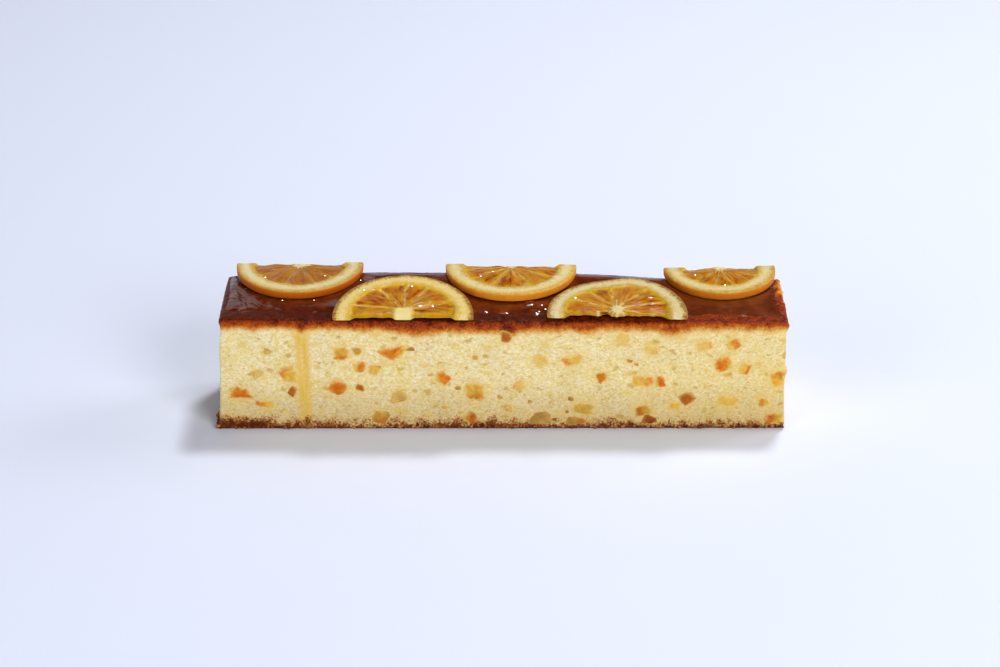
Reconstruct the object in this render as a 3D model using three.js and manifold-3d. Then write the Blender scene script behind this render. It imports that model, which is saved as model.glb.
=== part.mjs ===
// An orange pound cake: a trimmed bar of crumb full of candied peel dice, with a browned top crust
// and half slices of candied orange laid along it, turned to the back and to the front in turn.
// Millimetres, +Z up, +X along the bar, -Y towards the cut front face.
import * as THREE from "three";
import { mergeVertices } from "three/addons/utils/BufferGeometryUtils.js";
import Module from "manifold-3d";

const wasm = await Module();
wasm.setup();

// The bar, measured over the lip of its top crust
const LENGTH = 246;
const WIDTH = 46;
const HEIGHT = 51.9; // at the long edges of the top, halfway along
const TOP_FALL = 2.4; // how much lower the right end is than the left
const CROWN = 0.8; // rise of the top's middle line over its long edges
const BACK_SWELL = 2.7; // further rise of the back edge at mid length, none at the front edge
const SWELL_END = { from: 0.25, to: 0.65, lost: 0.7 }; // most of it is lost on the way to the right end
const CRUST = 5.2; // depth of the browned crust, which stands out over the crumb as a lip

// How each cut wall stands: half the bar across it, half its own run, the lip's overhang above it, how
// far the wall runs out to its foot and the base crust beyond that, and its turn about +Z from the front
const WALLS = {
  front: { half: WIDTH / 2, run: LENGTH / 2, lip: 0.4, flare: 0.1, ledge: 0, facing: 0 },
  right: { half: LENGTH / 2, run: WIDTH / 2, lip: 1.2, flare: -0.2, ledge: 0, facing: Math.PI / 2 },
  back: { half: WIDTH / 2, run: LENGTH / 2, lip: 0.4, flare: 0.3, ledge: 0, facing: Math.PI },
  left: { half: LENGTH / 2, run: WIDTH / 2, lip: 0.6, flare: 2.0, ledge: 1.4, facing: -Math.PI / 2 },
};

// Rows of the outline from the foot up: the craggy base crust, the crumb wall, the rounded crust
const WALL_FOOT = 3.8;
const BASE_ROWS = [
  { rise: 0, out: -0.6, ledge: 0.8 },
  { rise: 0.9, out: 0.3, ledge: 1 },
  { rise: 2.4, out: 0.25, ledge: 0.6 },
  { rise: WALL_FOOT, out: 0, ledge: 0 },
];
const WALL_ROWS = 5;
const CRUST_ROWS = [
  { drop: 4.1, out: -0.05 },
  { drop: 1.5, out: 0 },
  { drop: 0.65, out: -0.3 },
  { drop: 0.2, out: -0.8 },
  { drop: 0, out: -1.5 },
];
const STEPS_ALONG = 44;
const STEPS_ACROSS = 9;
const CRAG = 0.5; // roughness of the base crust
const GRAIN = 0.2; // roughness of the crust's lip
const WANDER = 0.3; // how far the knife wandered on a wall
const SLOW_WAVE = { along: 57, up: 48 }; // lengths of the wander's waves, along a wall and up it
const QUICK_WAVE = { along: 20, up: 31 };

// Candied peel dice, cut through by the walls and standing a little proud of them
const DIE_DEPTH = 5;
const DIE_PROUD = 0.5;
const DIE_SKEW = 0.14; // how far a die's corners stray, as a share of its size
const SCATTERED_DICE = { front: 6, right: 7, back: 44, left: 7 };
const DIE_SIZE = { small: 3.2, large: 6.6, favour: 1.6 }; // small ones are favoured
const DIE_SHAPE = { narrow: 0.8, wide: 1.35, tall: 0.85, turn: 40 }; // shares of the size, and degrees
const DIE_SPACING = 0.75; // least distance between two dice, as a share of their sizes together
const DIE_HEIGHTS = { low: 3, high: 44 };
const EVEN_STEP = { along: 0.7548776662, up: 0.569840291 }; // steps of an even two-way sequence

// The dice that stand out on the front face: along, height of the middle, width, tallness, turn
const FRONT_DICE = [
  [-114.9, 17.8, 7.6, 5.6, 4],
  [-104.5, 12.4, 7.2, 2.8, 6],
  [-93.6, 26.5, 6.2, 7.8, -20],
  [-92.5, 18.2, 3.4, 4.4, 30],
  [-70.6, 36.7, 6.6, 5.4, 0],
  [-62.8, 29.9, 5.2, 4.4, -8],
  [-56.5, 28.9, 4.8, 4.4, 12],
  [-72.8, 20.2, 7.0, 7.4, 38],
  [-48.1, 36.4, 9.4, 6.8, 20],
  [-26.6, 25.0, 5.8, 5.6, 42],
  [-12.5, 18.2, 7.2, 8.4, -4],
  [-14.5, 5.2, 6.0, 5.0, 30],
  [0.8, 44.4, 4.6, 4.8, 15],
  [29.4, 33.4, 8.6, 4.0, -16],
  [34.8, 9.9, 8.4, 4.8, 8],
  [16.2, 4.6, 9.4, 6.2, 0],
  [42.4, 25.1, 4.2, 5.2, -25],
  [60.0, 23.2, 8.2, 4.8, 5],
  [67.9, 23.2, 3.8, 5.6, -12],
  [51.3, 43.6, 4.8, 5.2, 30],
  [79.9, 14.6, 6.2, 5.2, -30],
  [99.4, 41.0, 6.6, 4.4, -28],
  [95.0, 31.2, 8.2, 6.0, -18],
  [104.6, 29.2, 4.8, 5.0, 25],
  [97.4, 13.5, 8.4, 4.8, 12],
  [119.0, 23.8, 5.0, 8.2, 0],
  [118.4, 5.0, 7.0, 5.6, 0],
  [60.8, 9.2, 6.4, 5.2, -15],
  [-63.7, 37.6, 3.8, 3.6, 0],
  [-62.8, 20.4, 3.6, 2.8, 10],
  [-54.0, 5.6, 7.2, 6.0, 20],
  [15.6, 33.2, 5.2, 5.6, -35],
  [31.6, 3.6, 8.6, 3.6, 6],
  [63.6, 4.4, 5.2, 4.2, 30],
  [74.8, 11.1, 4.0, 4.2, 15],
  [72.4, 46.4, 9.4, 3.6, 0],
  [86.7, 39.9, 6.2, 4.0, -12],
  [113.6, 13.0, 4.8, 3.6, -10],
];

// Candied orange slices, half a round each or a little more, cut along a straight edge
const SLICE_THICK = 3.6;
const RING = 6.8; // breadth of the pith and zest round the flesh
const CORE = 4.2; // radius of the white core
const EDGE_BLEND = 0.9; // breadth of the step between ring, flesh and core
const FLESH_SUNK = 0.9; // how far the flesh shrank below the ring's top
const FLESH_RAISED = 0.6; // and above the ring's underside
const SEGMENTS = 10; // in a whole round
const PILLOW = 0.5; // swell of a segment between its membranes
const SLICE_GAP = 0.3; // clear height left under a slice
const ARC_STEPS = 26;
const EDGE_STEPS = 12;

// Section of a slice from the middle of its underside out round the rim and back over its top:
// the share of the way out, and the level, 0 on the underside and 1 on top
const SLICE_SECTION = [
  [0, 0],
  [0.4, 0],
  [0.74, 0],
  [0.79, 0],
  [0.965, 0],
  [1, 0.2],
  [1, 0.82],
  [0.965, 1],
  [0.79, 1],
  [0.74, 1],
  [0.5, 1],
  [0.24, 1],
  [0.12, 1],
  [0, 1],
];

// Where each slice lies: its middle along the bar, its straight edge across it, and its own shape.
// past is how far the straight edge lies beyond the centre of the round; angles are in degrees.
const SLICES = [
  { x: -90.7, edge: 23.6, radius: 28.2, past: 1.6, back: true, tilt: 1.2, turn: 1 },
  { x: -43.5, edge: -23.8, radius: 30.3, past: 4.2, back: false, tilt: 4.2, turn: 0 },
  { x: 3.2, edge: 22.4, radius: 29.1, past: 1.8, back: true, tilt: 1.2, turn: -1 },
  { x: 48.9, edge: -22.2, radius: 30.3, past: 4.0, back: false, tilt: 2.8, turn: -1.5 },
  { x: 96.4, edge: 24.4, radius: 25.0, past: 1.8, back: true, tilt: 1.4, turn: 2.5 },
];

const CRUMB = { color: 0xe6cf95, roughness: 0.9, metalness: 0 };
const CANDIED_ORANGE = { color: 0xd99a35, roughness: 0.3, metalness: 0 };
const HASH = { step: 12.9898, spread: 43758.5453 };

const { clamp, degToRad, lerp, smoothstep } = THREE.MathUtils;

// A repeatable number from 0 to 1 for any index
function chance(index) {
  const wave = Math.sin(index * HASH.step) * HASH.spread;
  return wave - Math.floor(wave);
}

// A closed solid from a three.js geometry: shared corners merged, triangles without area dropped
function solidOf(geometry) {
  const bare = geometry.clone();
  bare.deleteAttribute("normal");
  bare.deleteAttribute("uv");
  const merged = mergeVertices(bare, 1e-3);
  const corners = merged.index.array;
  const kept = [];
  for (let i = 0; i < corners.length; i += 3) {
    const [a, b, c] = corners.subarray(i, i + 3);
    if (a !== b && b !== c && c !== a) kept.push(a, b, c);
  }
  const vertProperties = new Float32Array(merged.attributes.position.array);
  return new wasm.Manifold(
    new wasm.Mesh({ numProp: 3, vertProperties, triVerts: new Uint32Array(kept) }),
  );
}

function meshOf(solid, name, look) {
  const { vertProperties, triVerts } = solid.getMesh();
  const geometry = new THREE.BufferGeometry();
  geometry.setAttribute("position", new THREE.BufferAttribute(new Float32Array(vertProperties), 3));
  geometry.setIndex(new THREE.BufferAttribute(new Uint32Array(triVerts), 1));
  geometry.computeVertexNormals();
  const mesh = new THREE.Mesh(geometry, new THREE.MeshStandardMaterial(look));
  mesh.name = name;
  return mesh;
}

// Moves every corner of a geometry to the place that a rule gives it
function reshape(geometry, rule) {
  const places = geometry.attributes.position;
  const point = new THREE.Vector3();
  for (let i = 0; i < places.count; i++) {
    point.fromBufferAttribute(places, i);
    places.setXYZ(i, ...rule(point));
  }
  return geometry;
}

// Height of the top crust: level across the ends, crowned along the middle, swelling to the back
function topHeight(x, y) {
  const across = y / (WIDTH / 2);
  const along = x / (LENGTH / 2);
  const kept = 1 - SWELL_END.lost * smoothstep(along, SWELL_END.from, SWELL_END.to);
  const swell = (BACK_SWELL / 2) * (1 + across) * (1 - along ** 4) * kept;
  return HEIGHT - (TOP_FALL * x) / LENGTH + CROWN * (1 - across ** 2) + swell;
}

// The knife's wander over a wall: a slow wave along it and up it, and a quicker slanting one
function wander(along, z) {
  const turn = 2 * Math.PI;
  const slow = Math.cos((turn * along) / SLOW_WAVE.along) * Math.sin((turn * z) / SLOW_WAVE.up);
  const quick = Math.sin(turn * (along / QUICK_WAVE.along + z / QUICK_WAVE.up));
  return WANDER * (slow + quick / 2);
}

// Every row of the outline: its roughness, its height under a given top, and a wall's reach there
const ROWS = [
  ...BASE_ROWS.map(({ rise, out, ledge }) => ({
    rough: CRAG,
    height: () => rise,
    reach: (wall) => wall.half + wall.flare + out + ledge * wall.ledge,
  })),
  ...Array.from({ length: WALL_ROWS }, (_, k) => (k + 1) / WALL_ROWS).map((share) => ({
    rough: 0,
    height: (top) => lerp(WALL_FOOT, top - CRUST, share),
    reach: (wall) => wall.half + lerp(wall.flare, -wall.lip, share),
  })),
  ...CRUST_ROWS.map(({ drop, out }) => ({
    rough: GRAIN,
    height: (top) => top - drop,
    reach: (wall) => wall.half + out,
  })),
];

// The bar's crumb and crust: a box grid drawn out to the rows above, with its foot and top smooth
function barGeometry() {
  const last = ROWS.length - 1;
  const box = new THREE.BoxGeometry(2, 2, last, STEPS_ALONG, STEPS_ACROSS, last);
  return reshape(box, ({ x: u, y: v, z: w }) => {
    const index = Math.round(w + last / 2);
    const row = ROWS[index];
    const seed = u * STEPS_ALONG + v * STEPS_ACROSS * HASH.step + index;
    const rough = index % last === 0 ? 0 : row.rough * (2 * chance(seed) - 1);
    const end = u < 0 ? WALLS.left : WALLS.right;
    const side = v < 0 ? WALLS.front : WALLS.back;
    const z = row.height(HEIGHT);
    const x = u * (row.reach(end) + rough + wander(v * end.run, z));
    const y = v * (row.reach(side) + rough + wander(u * side.run, z));
    return [x, y, row.height(topHeight(x, y))];
  });
}

// One die of peel in a wall, its corners pushed about so that no two are alike
function dieSolid(wall, [along, z, wide, tall, turn], seed) {
  const share = clamp((z - WALL_FOOT) / (HEIGHT - CRUST - WALL_FOOT), 0, 1);
  const reach = wall.half + lerp(wall.flare, -wall.lip, share) + wander(along, z);
  const stray = (size, other) => size * (1 + DIE_SKEW * (2 * chance(seed + size + other / 2) - 1));
  const die = reshape(new THREE.BoxGeometry(wide, DIE_DEPTH, tall), ({ x, y, z: h }) => [
    stray(x, h),
    y,
    stray(h, x),
  ]);
  die.rotateY(degToRad(turn));
  die.translate(along, DIE_DEPTH / 2 - DIE_PROUD - reach, z);
  die.rotateZ(wall.facing);
  return solidOf(die);
}

// Scattered dice fill the space between the placed ones, on an even sequence with seeded sizes
function scatteredDice(wall, count, placed) {
  const dice = [...placed];
  for (let i = 1; dice.length < placed.length + count; i++) {
    const seed = i + wall.facing;
    const size = lerp(DIE_SIZE.small, DIE_SIZE.large, chance(seed) ** DIE_SIZE.favour);
    const along = (((i * EVEN_STEP.along) % 1) * 2 - 1) * (wall.run - DIE_SIZE.large);
    const z = lerp(DIE_HEIGHTS.low + size / 2, DIE_HEIGHTS.high, (i * EVEN_STEP.up) % 1);
    const near = ([x, h, wide]) => Math.hypot(x - along, h - z) < (wide + size) * DIE_SPACING;
    if (dice.some(near)) continue;
    const wide = size * lerp(DIE_SHAPE.narrow, DIE_SHAPE.wide, chance(2 * seed));
    const turn = DIE_SHAPE.turn * (2 * chance(3 * seed) - 1);
    dice.push([along, z, wide, size * DIE_SHAPE.tall, turn]);
  }
  return dice;
}

function cakeMesh() {
  const solids = [solidOf(barGeometry())];
  for (const [side, wall] of Object.entries(WALLS)) {
    const dice = scatteredDice(wall, SCATTERED_DICE[side], side === "front" ? FRONT_DICE : []);
    dice.forEach((die, i) => solids.push(dieSolid(wall, die, i + wall.facing)));
  }
  const whole = solids.reduce((joined, die) => joined.add(die));
  return meshOf(whole, "cake", CRUMB);
}

// A point on a slice's outline for a share from 0 to 1: round its arc, which is widest at the straight
// edge, then back along that edge
function sliceOutline({ radius, past }, share) {
  const arcShare = ARC_STEPS / (ARC_STEPS + EDGE_STEPS);
  if (share <= arcShare) {
    const angle = (Math.PI * share) / arcShare;
    return [radius * Math.cos(angle), (radius + past) * Math.sin(angle) - past];
  }
  return [lerp(-radius, radius, (share - arcShare) / (1 - arcShare)), -past];
}

// How much of the ring or core, from 0 to 1, stands at a place on the slice: 0 is flesh
function firmness(radius, far) {
  const ring = smoothstep(far, radius - RING - EDGE_BLEND, radius - RING);
  const core = 1 - smoothstep(far, CORE - EDGE_BLEND, CORE);
  return Math.max(ring, core);
}

// Swell of the flesh at a place: highest in the middle of a segment, none at its membranes
function pillow(radius, x, y) {
  const out = clamp(Math.hypot(x, y) / (radius - RING), 0, 1);
  const wedge = Math.abs(Math.sin((SEGMENTS / 2) * Math.atan2(y, x)));
  return PILLOW * wedge * Math.sin(Math.PI * out);
}

// A slice: its section turned round the centre of the round, each ray drawn out to the outline
function sliceGeometry(slice) {
  const profile = SLICE_SECTION.map(([share, level]) => new THREE.Vector2(share, level));
  const lathe = new THREE.LatheGeometry(profile, ARC_STEPS + EDGE_STEPS);
  return reshape(lathe, ({ x: sin, y: level, z: cos }) => {
    const out = Math.hypot(sin, cos);
    const share = Math.atan2(sin, cos) / (2 * Math.PI);
    const [ox, oy] = sliceOutline(slice, share < -1e-6 ? share + 1 : Math.max(share, 0));
    const [x, y] = [ox * out, oy * out];
    const flesh = 1 - firmness(slice.radius, Math.hypot(x, y));
    const top = SLICE_THICK - flesh * (FLESH_SUNK - pillow(slice.radius, x, y));
    return [x, y, lerp(flesh * FLESH_RAISED, top, level)];
  });
}

// A slice laid on the top crust: turned, tilted to the front, and raised until just clear of it
function sliceMesh(slice, index) {
  const name = `orange_slice_${index + 1}`;
  const mesh = meshOf(solidOf(sliceGeometry(slice)), name, CANDIED_ORANGE);
  const turn = degToRad(slice.turn) + (slice.back ? Math.PI : 0);
  mesh.rotation.set(degToRad(slice.tilt), 0, turn);
  mesh.position.set(slice.x, slice.edge + (slice.back ? -slice.past : slice.past), 0);
  mesh.updateMatrixWorld(true);
  const places = mesh.geometry.attributes.position;
  const point = new THREE.Vector3();
  let lift = -Infinity;
  for (let i = 0; i < places.count; i++) {
    point.fromBufferAttribute(places, i).applyMatrix4(mesh.matrixWorld);
    if (Math.abs(point.y) > WIDTH / 2) continue;
    lift = Math.max(lift, topHeight(point.x, point.y) - point.z);
  }
  mesh.position.z = lift + SLICE_GAP;
  return mesh;
}

// The whole cake stands on its base with its middle over the origin
const bar = new THREE.Group();
bar.add(cakeMesh(), ...SLICES.map(sliceMesh));
const extent = new THREE.Box3().setFromObject(bar, true);
const middle = extent.getCenter(new THREE.Vector3());
bar.position.set(-middle.x, -middle.y, -extent.min.z);

const poundCake = new THREE.Group();
poundCake.add(bar);

export default poundCake;
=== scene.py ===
import math

import bpy
import numpy as np
from mathutils import Matrix, Vector


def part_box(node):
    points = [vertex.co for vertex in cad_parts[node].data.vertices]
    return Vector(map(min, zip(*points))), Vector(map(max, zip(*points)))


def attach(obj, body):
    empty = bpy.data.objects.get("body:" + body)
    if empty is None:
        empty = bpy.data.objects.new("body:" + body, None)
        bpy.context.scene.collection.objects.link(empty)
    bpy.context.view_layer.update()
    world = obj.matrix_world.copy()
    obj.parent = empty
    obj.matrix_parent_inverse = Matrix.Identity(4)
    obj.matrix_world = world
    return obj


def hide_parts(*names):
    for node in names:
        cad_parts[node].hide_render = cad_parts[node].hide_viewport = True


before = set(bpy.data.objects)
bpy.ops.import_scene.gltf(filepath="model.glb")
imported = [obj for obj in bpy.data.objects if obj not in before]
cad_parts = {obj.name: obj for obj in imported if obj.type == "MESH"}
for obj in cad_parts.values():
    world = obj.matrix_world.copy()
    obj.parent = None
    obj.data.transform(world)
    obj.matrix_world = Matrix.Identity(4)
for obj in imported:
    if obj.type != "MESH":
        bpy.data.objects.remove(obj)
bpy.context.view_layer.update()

# The view: square on to the cut front of the bar and from a little above, through a long lens. All
# sizes below are millimetres in the bar's own frame, whose origin lies under the middle of its top.
MM = 0.001
BAR_PLACE = np.array([1.73, -0.73, 0.0])  # in the part's frame, as the left foot reaches out furthest
CAMERA_PLACE = np.array([-4.3, -983.0, 512.0])
CAMERA_PITCH = 25.87  # degrees below the level
CAMERA_YAW = 0.15  # degrees to the right
CAMERA_LENS = 89.06
CAMERA_SENSOR = 36.0
CAMERA_REACH = 20.0  # metres

camera = bpy.data.objects.new("camera", bpy.data.cameras.new("camera"))
camera.data.lens = CAMERA_LENS
camera.data.sensor_width = CAMERA_SENSOR
camera.data.clip_end = CAMERA_REACH
camera.location = (CAMERA_PLACE + BAR_PLACE) * MM
camera.rotation_euler = (math.radians(90 - CAMERA_PITCH), 0, math.radians(-CAMERA_YAW))
bpy.context.scene.collection.objects.link(camera)
bpy.context.scene.camera = camera

# The bar: pale butter crumb, trimmed with a knife on all four sides so that its pores lie open. Its
# browned top crust stands out over the crumb as a rounded lip, and its foot is a thin dark crust that
# tore and crumbled when the cake left its tin. One run of glaze has soaked into the front.
LENGTH = 246.0
WIDTH = 46.0
HEIGHT = 51.9  # at the long edges of the top, halfway along
TOP_FALL = 2.4  # the right end is that much lower than the left
CROWN = 0.8
BACK_SWELL = 2.7
SWELL_END = {"from": 0.25, "to": 0.65, "lost": 0.7}  # most of it is lost on the way to the right end
CRUST = 5.2  # depth over which the crust stands out
LIP_ROUND = 1.5
CORNER_ROUND = 1.2
WALL_FOOT = 3.8
FOOT_ROWS = [0, 0.4, 0.8, 1.2, 1.7, 2.3, 3.0, WALL_FOOT]
FOOT_SECTION = {"up": [0, 0.9, 2.4, WALL_FOOT], "out": [-0.6, 0.3, 0.25, 0], "ledge": [0.8, 1, 0.6, 0]}
FOOT_BAND = (1.2, 4.2)  # heights between which the torn foot gives way to cut crumb
TOP_ROWS = [0.6, 1.2, 1.8, 2.4, 3.0, 3.6, 4.2, 4.8, 5.5, 6.3, 7.3, 8.5, 10.5, 13.5, 17.5]
BAR_STEPS = {"along": 376, "across": 60, "corner": 3, "wall": 66, "under_lip": 6, "lip": 9}
MIDDLE_ROW = 40  # a row halfway up the walls
# A wall's distance from the middle and half its length; how far the crust stands out over it, how far
# its foot runs out, and out again in a ledge; and the way that it faces, in radians
LONG_WALL = {"half": WIDTH / 2, "run": LENGTH / 2}
END_WALL = {"half": LENGTH / 2, "run": WIDTH / 2}
WALLS = {
    "front": {**LONG_WALL, "lip": 0.4, "flare": 0.1, "ledge": 0.0, "facing": -math.pi / 2},
    "right": {**END_WALL, "lip": 1.2, "flare": -0.2, "ledge": 0.0, "facing": 0.0},
    "back": {**LONG_WALL, "lip": 0.4, "flare": 0.3, "ledge": 0.0, "facing": math.pi / 2},
    "left": {**END_WALL, "lip": 0.6, "flare": 2.0, "ledge": 1.4, "facing": -math.pi},
}
WANDER = {"far": 0.3, "slow": (57, 48), "quick": (20, 31)}  # how far the knife strayed, and its waves
# Unevenness in layers of noise, each by its strength, its size and its seed
GRAIN = [(0.06, 1.7, 11), (0.05, 0.9, 12)]
CRUST_GRAIN = [(0.16, 1.6, 15), (0.14, 0.9, 16)]
CRAGS = [(0.45, 3.1, 13), (0.35, 1.4, 14)]
TEARS = [(1, 2.4, 7), (0.5, 1.2, 8)]
DRIP_EDGE = [(0.5, 7, 3), (0.4, 2.5, 4)]
FOOT_PATCHES = [(1.5, 11, 20), (1.1, 4.5, 9)]
# Pores, open holes and peel just under the cut: a lattice's cell, the radii, and the share of cells
FINE_PORES = {"cell": 1.8, "sizes": (0.3, 0.75), "share": 0.45, "seed": 1}
HOLES = {"cell": 8.0, "sizes": (0.6, 1.6), "share": 0.4, "seed": 2}
SUNKEN_PEEL = {"cell": 12.0, "sizes": (1.4, 3.0), "share": 0.55, "seed": 3}
PIT_SHAPE = {"wide": 1.35, "flat": 1.25, "slant": 0.6}  # drawn out along, pressed flat and slanting
# How deep pores, holes and tears are cut, and how much painted shade darkens them
PIT_DEPTHS = {"pore": 0.08, "hole": 0.4, "tear": 0.8}
PIT_SHADES = {"pore": 0.1, "hole": 0.8, "tear": 1.4}
PIT_WARP = {"along": [(0.6, 1.8, 5)], "up": [(0.5, 1.8, 6)]}
# The crust's broken right end: how far in from the end it starts and is complete, and likewise across;
# how far it stands out, and how much paler it is
CRUMBLY = {"in": 6, "out": 2, "front": -16, "back": -6, "push": 0.5, "paler": 0.5}
CRUMBLY_LUMPS = [(0.9, 2.6, 18)]
# How deep the crust's brown reaches, and how much deeper from and to which places along; then patches
# where it holds out: along, half width, and how much deeper
BROWNING = {"depth": 6.1, "deeper": [(1.2, -80, -10), (1.3, 10, 90)], "uneven": 0.12}
BROWN_PATCHES = [(-87.5, 2.4, 1.6), (-39, 10, 1.4), (1.2, 2.8, 3.6), (35, 4, 1.4), (72, 6.5, 2.8)]
PALE_END = {"faded": 0.38, "from": -20, "to": 90}  # the right end has faded so far at its top edge
TOP_BROWNER = 0.25  # how much less it has faded on the top itself
FADED_OUT = 1.2  # where the brown is all gone, granules included
LEFT_FOOT = {"higher": 1.6, "from": -105, "to": -55}  # the foot's brown climbs higher at the left end
GLAZE_FRONT = -17.4  # how far forward the glaze on the top reaches
GLAZE_SMOOTHS = 0.8  # how much of the crust's grain it takes up
DRIP = {"top": -87.6, "foot": -86.8, "half_top": 5.2, "half_foot": 4.2, "edge": 3.6}
DRIP_FILM = {"thick": 0.12, "smooths": 0.7}


def chance(*numbers):
    """A repeatable value from 0 to 1 for whole numbers: the fraction left of a large sine of their mix."""
    mix = sum(n * k for n, k in zip(numbers, (12.9898, 78.233, 37.719, 9.151, 4.581)))
    wave = np.sin(mix) * 43758.5453
    return wave - np.floor(wave)


def ease(value, low, high):
    """A smooth step from 0 at low to 1 at high: three squares less two cubes of the share between."""
    share = np.clip((value - low) / (high - low), 0, 1)
    return share * share * (3 - 2 * share)


def blend(first, second, share):
    """The value that lies the given share of the way from the first to the second."""
    return first + (second - first) * share


def bell(value, middle, breadth):
    """A bell curve: 1 at its middle, falling by the square of the distance in breadths."""
    return np.exp(-(((value - middle) / breadth) ** 2))


def noise(points, size, seed):
    """Smooth noise from -1 to 1: chance values on a cubic lattice of the given size, eased between."""
    scaled = points / size
    low = np.floor(scaled)
    share = ease(scaled - low, 0, 1)
    total = 0
    for corner in np.ndindex(2, 2, 2):
        weight = np.prod(np.where(corner, share, 1 - share), axis=-1)
        total = total + weight * chance(*np.moveaxis(low + corner, -1, 0), seed)
    return 2 * total - 1


def layered_noise(points, layers):
    """Several noises added up, each given by its strength, its size and its seed."""
    return sum(strength * noise(points, size, seed) for strength, size, seed in layers)


def pits(along, up, cell, sizes, share, seed):
    """Depth from 0 to 1 of scattered pits: a share of the cells of a lattice hold one each, a flat
    ellipse off the cell's middle and between two radii in size, deepest where two overlap."""
    deepest = np.zeros_like(along)
    for step in np.ndindex(3, 3):
        i = np.floor(along / cell) + step[0] - 1
        j = np.floor(up / cell) + step[1] - 1
        held = chance(i, j, seed, 1) < share
        middle_along = (i + 0.2 + 0.6 * chance(i, j, seed, 2)) * cell
        middle_up = (j + 0.2 + 0.6 * chance(i, j, seed, 3)) * cell
        radius = blend(*sizes, chance(i, j, seed, 4) ** 2)
        off_along = along - middle_along
        off_up = up - middle_up + PIT_SHAPE["slant"] * (chance(i, j, seed, 5) - 0.5) * off_along
        far = np.hypot(off_along / PIT_SHAPE["wide"], off_up * PIT_SHAPE["flat"]) / radius
        deepest = np.maximum(deepest, held * np.sqrt(np.clip(1 - far * far, 0, 1)))
    return deepest


def top_height(x, y):
    """Height of the top: falling to the right, crowned across, and swelling to the back at mid length."""
    across = y / (WIDTH / 2)
    along = x / (LENGTH / 2)
    kept = 1 - SWELL_END["lost"] * ease(along, SWELL_END["from"], SWELL_END["to"])
    swell = BACK_SWELL / 2 * (1 + across) * (1 - along**4) * kept
    return HEIGHT - TOP_FALL * x / LENGTH + CROWN * (1 - across**2) + swell


def browning(x, y, below):
    """How far the crust's brown has faded at a depth below the top, from 0 at the top edge to 1 in bare
    crumb: slower at mid length, begun sooner at the right end, and held back in patches. The back has
    the patches the other way round."""
    along = np.where(y > 0, -x, x)
    depth = BROWNING["depth"]
    for more, start, stop in BROWNING["deeper"]:
        depth = depth + more * ease(x, start, stop)
    held = sum(more * bell(along, middle, half) for middle, half, more in BROWN_PATCHES)
    paler = PALE_END["faded"] * ease(x, PALE_END["from"], PALE_END["to"])
    return paler + (below - held * ease(below, 0.5, 2.5)) / depth


def wander(run, z):
    """How far the knife strayed on a wall: a slow wave along it and up it, and a quicker slanting one."""
    slow_run, slow_up = WANDER["slow"]
    quick_run, quick_up = WANDER["quick"]
    slow = np.cos(2 * math.pi * run / slow_run) * np.sin(2 * math.pi * z / slow_up)
    quick = np.sin(2 * math.pi * (run / quick_run + z / quick_up))
    return WANDER["far"] * (slow + quick / 2)


def wall_columns():
    """Once round the bar from the middle of its left end by the front: for each column its shares of
    the way along and across, and the way that it faces, in radians."""
    along = np.linspace(0, 1, BAR_STEPS["along"] + 1)
    across = np.linspace(0, 1, BAR_STEPS["across"] + 1)
    quarter = math.pi / 2
    turn = np.linspace(0, quarter, BAR_STEPS["corner"] + 2)[1:-1]
    stretches = [
        (along, 0, -quarter),
        (1, 0, turn - quarter),
        (1, across, 0),
        (1, 1, turn),
        (along[::-1], 1, quarter),
        (0, 1, turn + quarter),
        (0, across[::-1], math.pi),
        (0, 0, turn + math.pi),
    ]
    columns = np.concatenate([np.array(np.broadcast_arrays(*stretch)) for stretch in stretches], axis=1)
    return np.roll(columns, len(turn) + len(across) // 2 + 1, axis=1)


def wall_rows():
    """From the foot up: for each row, the height that it has of its own and its share of the top's, its
    shares of flare, of lip and of ledge, its own outset, and how far its face has turned to look up."""
    base = np.array(FOOT_ROWS)
    base_out = np.interp(base, FOOT_SECTION["up"], FOOT_SECTION["out"])
    base_ledge = np.interp(base, FOOT_SECTION["up"], FOOT_SECTION["ledge"])
    wall = np.linspace(0, 1, BAR_STEPS["wall"] + 1)[1:]
    under = np.linspace(CRUST, LIP_ROUND, BAR_STEPS["under_lip"])[1:]
    turn = np.linspace(0, math.pi / 2, BAR_STEPS["lip"])[1:]
    inset = LIP_ROUND + np.array(TOP_ROWS)
    stretches = [
        {"own": base, "flare": 1, "ledge": base_ledge, "out": base_out},
        {"own": WALL_FOOT * (1 - wall) - CRUST * wall, "share": wall, "flare": 1 - wall, "lip": wall},
        {"own": -under, "share": 1, "lip": 1 - ease(CRUST - under, 0, CRUST - LIP_ROUND)},
        {
            "own": LIP_ROUND * (np.sin(turn) - 1),
            "share": 1,
            "out": -LIP_ROUND * (1 - np.cos(turn)),
            "look_up": turn,
        },
        {"share": 1, "out": -inset, "look_up": math.pi / 2},
    ]
    keys = ("own", "share", "flare", "lip", "ledge", "out", "look_up")
    rows = [np.array(np.broadcast_arrays(*(stretch.get(key, 0) for key in keys))) for stretch in stretches]
    return np.concatenate(rows, axis=1)


def wet_by_drip(x, y, z, spots):
    """How wet the run of glaze has left a place on the front: 1 within its ragged edges, 0 outside."""
    rise = z / HEIGHT
    half = blend(DRIP["half_foot"], DRIP["half_top"], rise) + layered_noise(spots, DRIP_EDGE)
    off = np.abs(x - blend(DRIP["foot"], DRIP["top"], rise))
    return ease(half - off, 0, DRIP["edge"]) * (y < -WIDTH / 4) * ease(z, 0.5, 3)


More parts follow.
